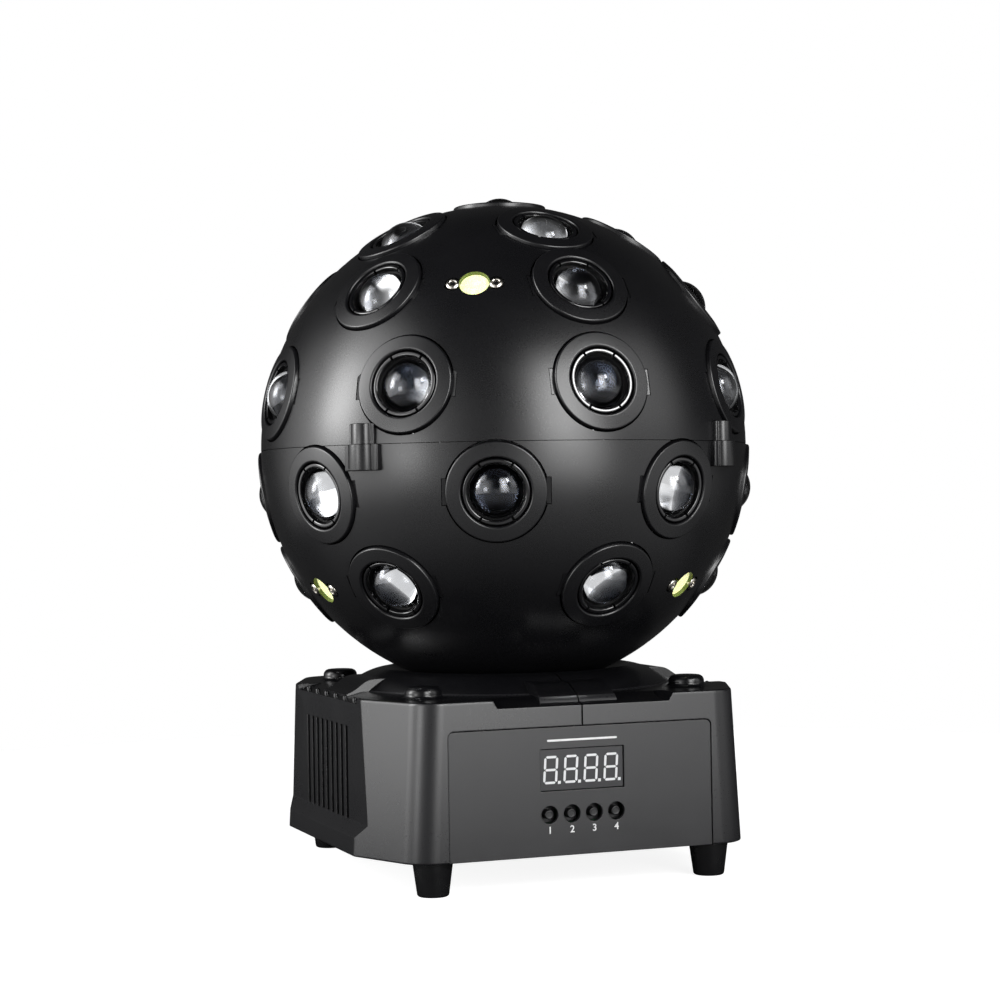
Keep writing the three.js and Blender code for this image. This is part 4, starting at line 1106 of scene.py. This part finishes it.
def segment(ax, ay, bx, by, width):
    """Outline of a bar with pointed ends."""
    along = Vector((bx - ax, by - ay)).normalized()
    across = Vector((-along.y, along.x)) * width / 2
    a, b = Vector((ax, ay)), Vector((bx, by))
    tip = along * width / 2
    return [a, a + tip + across, b - tip + across, b, b - tip - across, a + tip - across]


def display_digits():
    """The bars and points of four leaning digits."""
    right, top = 4.35 / 2, 8.75 / 2
    thick, gap, relief = 0.8, 0.2, 0.12
    pitch, lean = 7.45, 0.07
    bars = [
        (-right, top, right, top), (-right, 0, right, 0), (-right, -top, right, -top),
        (-right, 0, -right, top), (right, 0, right, top),
        (-right, -top, -right, 0), (right, -top, right, 0),
    ]
    outlines = []
    for ax, ay, bx, by in bars:
        shift = Vector((bx - ax, by - ay)).normalized() * gap
        outlines.append(segment(ax + shift.x, ay + shift.y, bx - shift.x, by - shift.y, thick))
    dot = Vector((right + 1.25, -top - 0.02))
    outlines.append([dot + Vector((x / 2, y / 2)) for x, y in four_corners])
    parts = []
    for k in range(4):
        middle = (k - 1.5) * pitch - 0.35
        for outline in outlines:
            leaning = [(middle + x + lean * y, window_middle + y) for x, y in outline]
            parts.append(prism(leaning, 0, relief))
    return merged(parts)


display_place = upright(panel_y + 0.77)
screen = prism(soft_box(30.6, 13.9, 0, window_middle, 0.3, 3), -3, 0)
piece("display_screen", screen, "base", display_place, filter_black, smooth=False)
piece("display_digits", display_digits(), "base", display_place, segment_white, smooth=False)


# Buttons: round stems in the panel's holes, one on each pressed body, and their switches

def button_stem(length):
    """Round stem with a shallow dish in its end."""
    dish = [(0, -0.1, 0), (0.95, -0.1, 0.1), (1.15, 0, 0.08)]
    return turned(filleted([*dish, (1.6, 0, 0.35), (1.6, -length, 0), (0, -length, 0)], 4), 40)


button_bodies = ["up_button", "down_button", "menu_button", "enter_button"]
for i, (x, body) in enumerate(zip(button_xs, button_bodies)):
    low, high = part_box(f"button_{i + 1}")
    stem_place = upright(low.y / mm) @ shifted(x, button_z)
    stem = button_stem((high.y - low.y) / mm)
    made = piece(f"button_stem_{i + 1}", stem, body, stem_place, socket_black)
    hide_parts(f"button_{i + 1}")
    case = prism(soft_box(6.3, 6.3, x, button_z, 0.4, 3), -1.2, 0)
    case_place = upright(high.y / mm + 0.45)
    piece(f"switch_case_{i + 1}", case, "base", case_place, socket_black, smooth=False)


# Printed marks: plain numbers under the buttons and a plain line over the display

def printed(name, text, x, z):
    """A raised text of thin ink on the front panel."""
    data = bpy.data.curves.new(name, "FONT")
    data.body = text
    data.size = 3.4 * mm
    data.align_x = "CENTER"
    data.align_y = "CENTER"
    data.extrude = 0.02 * mm
    data.offset = 0.05 * mm
    piece(name, drawn(name, data, ink), "base", upright(panel_y) @ shifted(x, z))


for i, x in enumerate(button_xs):
    printed(f"button_number_{i + 1}", str(i + 1), x, number_z)
line_mark = prism(soft_box(26, 0.7, 0, 51.4, 0.34, 4), -0.01, 0.02)
piece("panel_line", line_mark, "base", upright(panel_y), ink, smooth=False)


# Feet

def foot():
    """Tapered foot, narrow at the floor."""
    top = 11.6
    return turned(filleted([(0, 0, 0), (5.4, 0, 0.9), (6.9, 11.2, 0), (6.9, top, 0), (0, top, 0)], 5), 64)


foot_x, foot_y = 51.7, 62.4
for i, (sx, sy) in enumerate(four_corners):
    place = shifted(sx * foot_x, sy * foot_y)
    made = piece(f"rubber_foot_{i + 1}", foot(), "base", place, rubber)
    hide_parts(f"foot_{i + 1}")


# CAD nodes that keep their shape, in better materials
kept = [
    (aluminium, ["lamp_core", "motor_pulley"]),
    (steel, ["spindle", "spindle_bearing", "drive_bracket", "pan_motor"]),
    (board_green, ["control_board", "power_board"]),
    (belt_black, ["drive_belt"]),
    (socket_black, ["slip_ring", "power_inlet", "data_in", "data_out"]),
]
for finish, names in kept:
    for name in names:
        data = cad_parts[name].data
        data.materials.clear()
        data.materials.append(finish)


# Floor, light and camera

# Level direction from the front of the stage to its back, and what a soft step is set to
backwards = (0.35, 0.94, 0)
soft_step = {"interpolation_type": "SMOOTHSTEP"}


def pale_floor():
    """Seamless studio floor, almost white to the eye. Gloss mirrors it as a painted pool of light in front,
    dimmer close to the object as its painted shadow and dimmer behind it; glass shows it from a little
    way in front of the object to the back. Its distances are in metres."""
    made, tree, place = new_material("studio_floor")
    away = add(tree, "VectorMath", {0: place}, operation="LENGTH").outputs["Value"]
    behind = add(tree, "VectorMath", {0: place, 1: backwards}, operation="DOT_PRODUCT").outputs["Value"]
    clear = {"Value": away, "From Min": 0.09, "From Max": 0.3, "To Max": 0.34}
    lit = add(tree, "MapRange", clear, **soft_step)
    deep = {"Value": behind, "From Min": -0.34, "From Max": -0.12, "To Max": 0.7}
    stage = add(tree, "MapRange", deep, **soft_step)
    near = {"Value": behind, "From Min": -0.1, "From Max": 0.12, "To Min": 1.0, "To Max": 0.08}
    front = add(tree, "MapRange", near, **soft_step)
    # Painted light: what gloss sees, a pool in front with the object's painted shadow close to it
    sheen = add(tree, "Math", {0: lit, 1: front}, operation="MULTIPLY")
    path = add(tree, "LightPath").outputs
    mirrored, passed = path["Is Glossy Ray"], path["Is Transmission Ray"]
    seen = add(tree, "Math", {0: path["Is Camera Ray"], 1: 0.88}, operation="MULTIPLY")
    through = add(tree, "Math", {0: passed, 1: stage}, operation="MULTIPLY")
    glossy = add(tree, "Math", {0: mirrored, 1: sheen}, operation="MULTIPLY")
    most = add(tree, "Math", {0: seen, 1: through}, operation="MAXIMUM")
    level = add(tree, "Math", {0: most, 1: glossy}, operation="MAXIMUM")
    glow = add(tree, "Emission", {"Strength": level})
    # To gloss and glass the paper is near black, as painted shade, so only the glow shows there
    bounced = add(tree, "Math", {0: mirrored, 1: passed}, operation="MAXIMUM")
    shade = add(tree, "Mix", {"Factor": bounced, "A": linear("#b4b4b5")[0], "B": 0.02}, data_type="FLOAT")
    paper = add(tree, "BsdfDiffuse", {"Color": shade})
    both = add(tree, "AddShader", {0: glow, 1: paper})
    add(tree, "OutputMaterial", {"Surface": both})
    return made


floor_sheet = bmesh.new()
bmesh.ops.create_circle(floor_sheet, cap_ends=True, segments=96, radius=floor_radius * mm)
floor_data = bpy.data.meshes.new("floor")
floor_sheet.to_mesh(floor_data)
floor_sheet.free()
floor_data.materials.append(pale_floor())
linked("studio_floor", floor_data)


# Soft studio light in a dark room: softboxes as soft-edged patches of the world, each with
# its azimuth, elevation, half width and half height in degrees, and the level in its middle
softboxes = [
    (-104, 16.5, 11, 14.5, 10.5), (-92, 3, 46, 28, 2.0), (-66, -2, 8, 8, 5.0), (7, 21, 12.5, 16.6, 9.1),
    (28, 30, 6, 7, 20.0), (11, -1, 15.5, 12, 4.5), (52, 20, 18, 20, 1.5), (30, -12, 60, 12, 0.8),
    (-100, 37, 24, 10, 3.2),
]

world = bpy.data.worlds.new("studio")
bpy.context.scene.world = world
world.use_nodes = True
sky = world.node_tree
sky.nodes.clear()
way = add(sky, "TexCoord").outputs["Generated"]
parts = add(sky, "SeparateXYZ", {"Vector": way}).outputs
minus_y = add(sky, "Math", {0: parts["Y"], 1: -1.0}, operation="MULTIPLY")
round_way = add(sky, "Math", {0: parts["X"], 1: minus_y}, operation="ARCTAN2")
up_way = add(sky, "Math", {0: parts["Z"]}, operation="ARCSINE")


def from_middle(angle, middle, reach):
    """How far a direction is from a lamp's middle, in its half widths, to the fourth power."""
    scaled = {0: angle, 1: 1 / radians(reach), 2: -middle / reach}
    away = add(sky, "Math", scaled, operation="MULTIPLY_ADD")
    square = add(sky, "Math", {0: away, 1: away}, operation="MULTIPLY")
    return add(sky, "Math", {0: square, 1: square}, operation="MULTIPLY")


def softbox(azimuth, elevation, width, height):
    """A soft-edged patch: 1 in its middle and 0 well outside it."""
    across, upward = from_middle(round_way, azimuth, width), from_middle(up_way, elevation, height)
    far = add(sky, "Math", {0: across, 1: upward}, operation="ADD")
    minus_far = add(sky, "Math", {0: far, 1: -1.0}, operation="MULTIPLY")
    return add(sky, "Math", {0: minus_far}, operation="EXPONENT")


lamps = 0.0
for *place, level in softboxes:
    lamps = add(sky, "Math", {0: softbox(*place), 1: level, 2: lamps}, operation="MULTIPLY_ADD")

# A pale backdrop behind the stage, for glass and faintly for gloss, that fades at the ceiling
behind = add(sky, "VectorMath", {0: way, 1: backwards}, operation="DOT_PRODUCT").outputs["Value"]
backdrop = add(sky, "MapRange", {"Value": behind, "From Min": -0.1, "From Max": 0.5}, **soft_step)
fading = {"Value": parts["Z"], "From Min": 0.45, "From Max": 0.85, "To Min": 1.0, "To Max": 0.1}
ceiling = add(sky, "MapRange", fading, **soft_step)
backdrop_level = add(sky, "Math", {0: backdrop, 1: ceiling}, operation="MULTIPLY")
path = add(sky, "LightPath").outputs
through = add(sky, "Math", {0: path["Is Transmission Ray"], 1: 0.75}, operation="MULTIPLY")
glossy = add(sky, "Math", {0: path["Is Glossy Ray"], 1: 0.025}, operation="MULTIPLY")
either = add(sky, "Math", {0: through, 1: glossy}, operation="MAXIMUM")
screen_light = add(sky, "Math", {0: backdrop_level, 1: either}, operation="MULTIPLY")
room = add(sky, "Math", {0: screen_light, 1: 0.007}, operation="ADD")
light = add(sky, "Math", {0: lamps, 1: room}, operation="ADD")
seen = add(sky, "Mix", {"Factor": path["Is Camera Ray"], "A": light, "B": 1.0}, data_type="FLOAT")
background = add(sky, "Background", {"Color": (1, 1, 1, 1), "Strength": seen})
add(sky, "OutputWorld", {"Surface": background})

camera_data = bpy.data.cameras.new("camera")
camera_data.lens = 80.93
camera_data.sensor_width = 36
camera_data.clip_start = 0.01
camera_data.clip_end = 50
camera = linked("camera", camera_data)
camera_spot = Vector((-296.77, -785.22, 130.8)) * mm
right = Vector((0.93598, -0.35167, -0.01663))
above = Vector((0.01416, -0.00961, 0.99985))
ahead = Vector((0.35178, 0.93608, 0.00402))
facing = Matrix((right, above, -ahead)).transposed().to_4x4()
camera.matrix_world = Matrix.Translation(camera_spot) @ facing
bpy.context.scene.camera = camera

bpy.context.scene.view_settings.view_transform = "Standard"
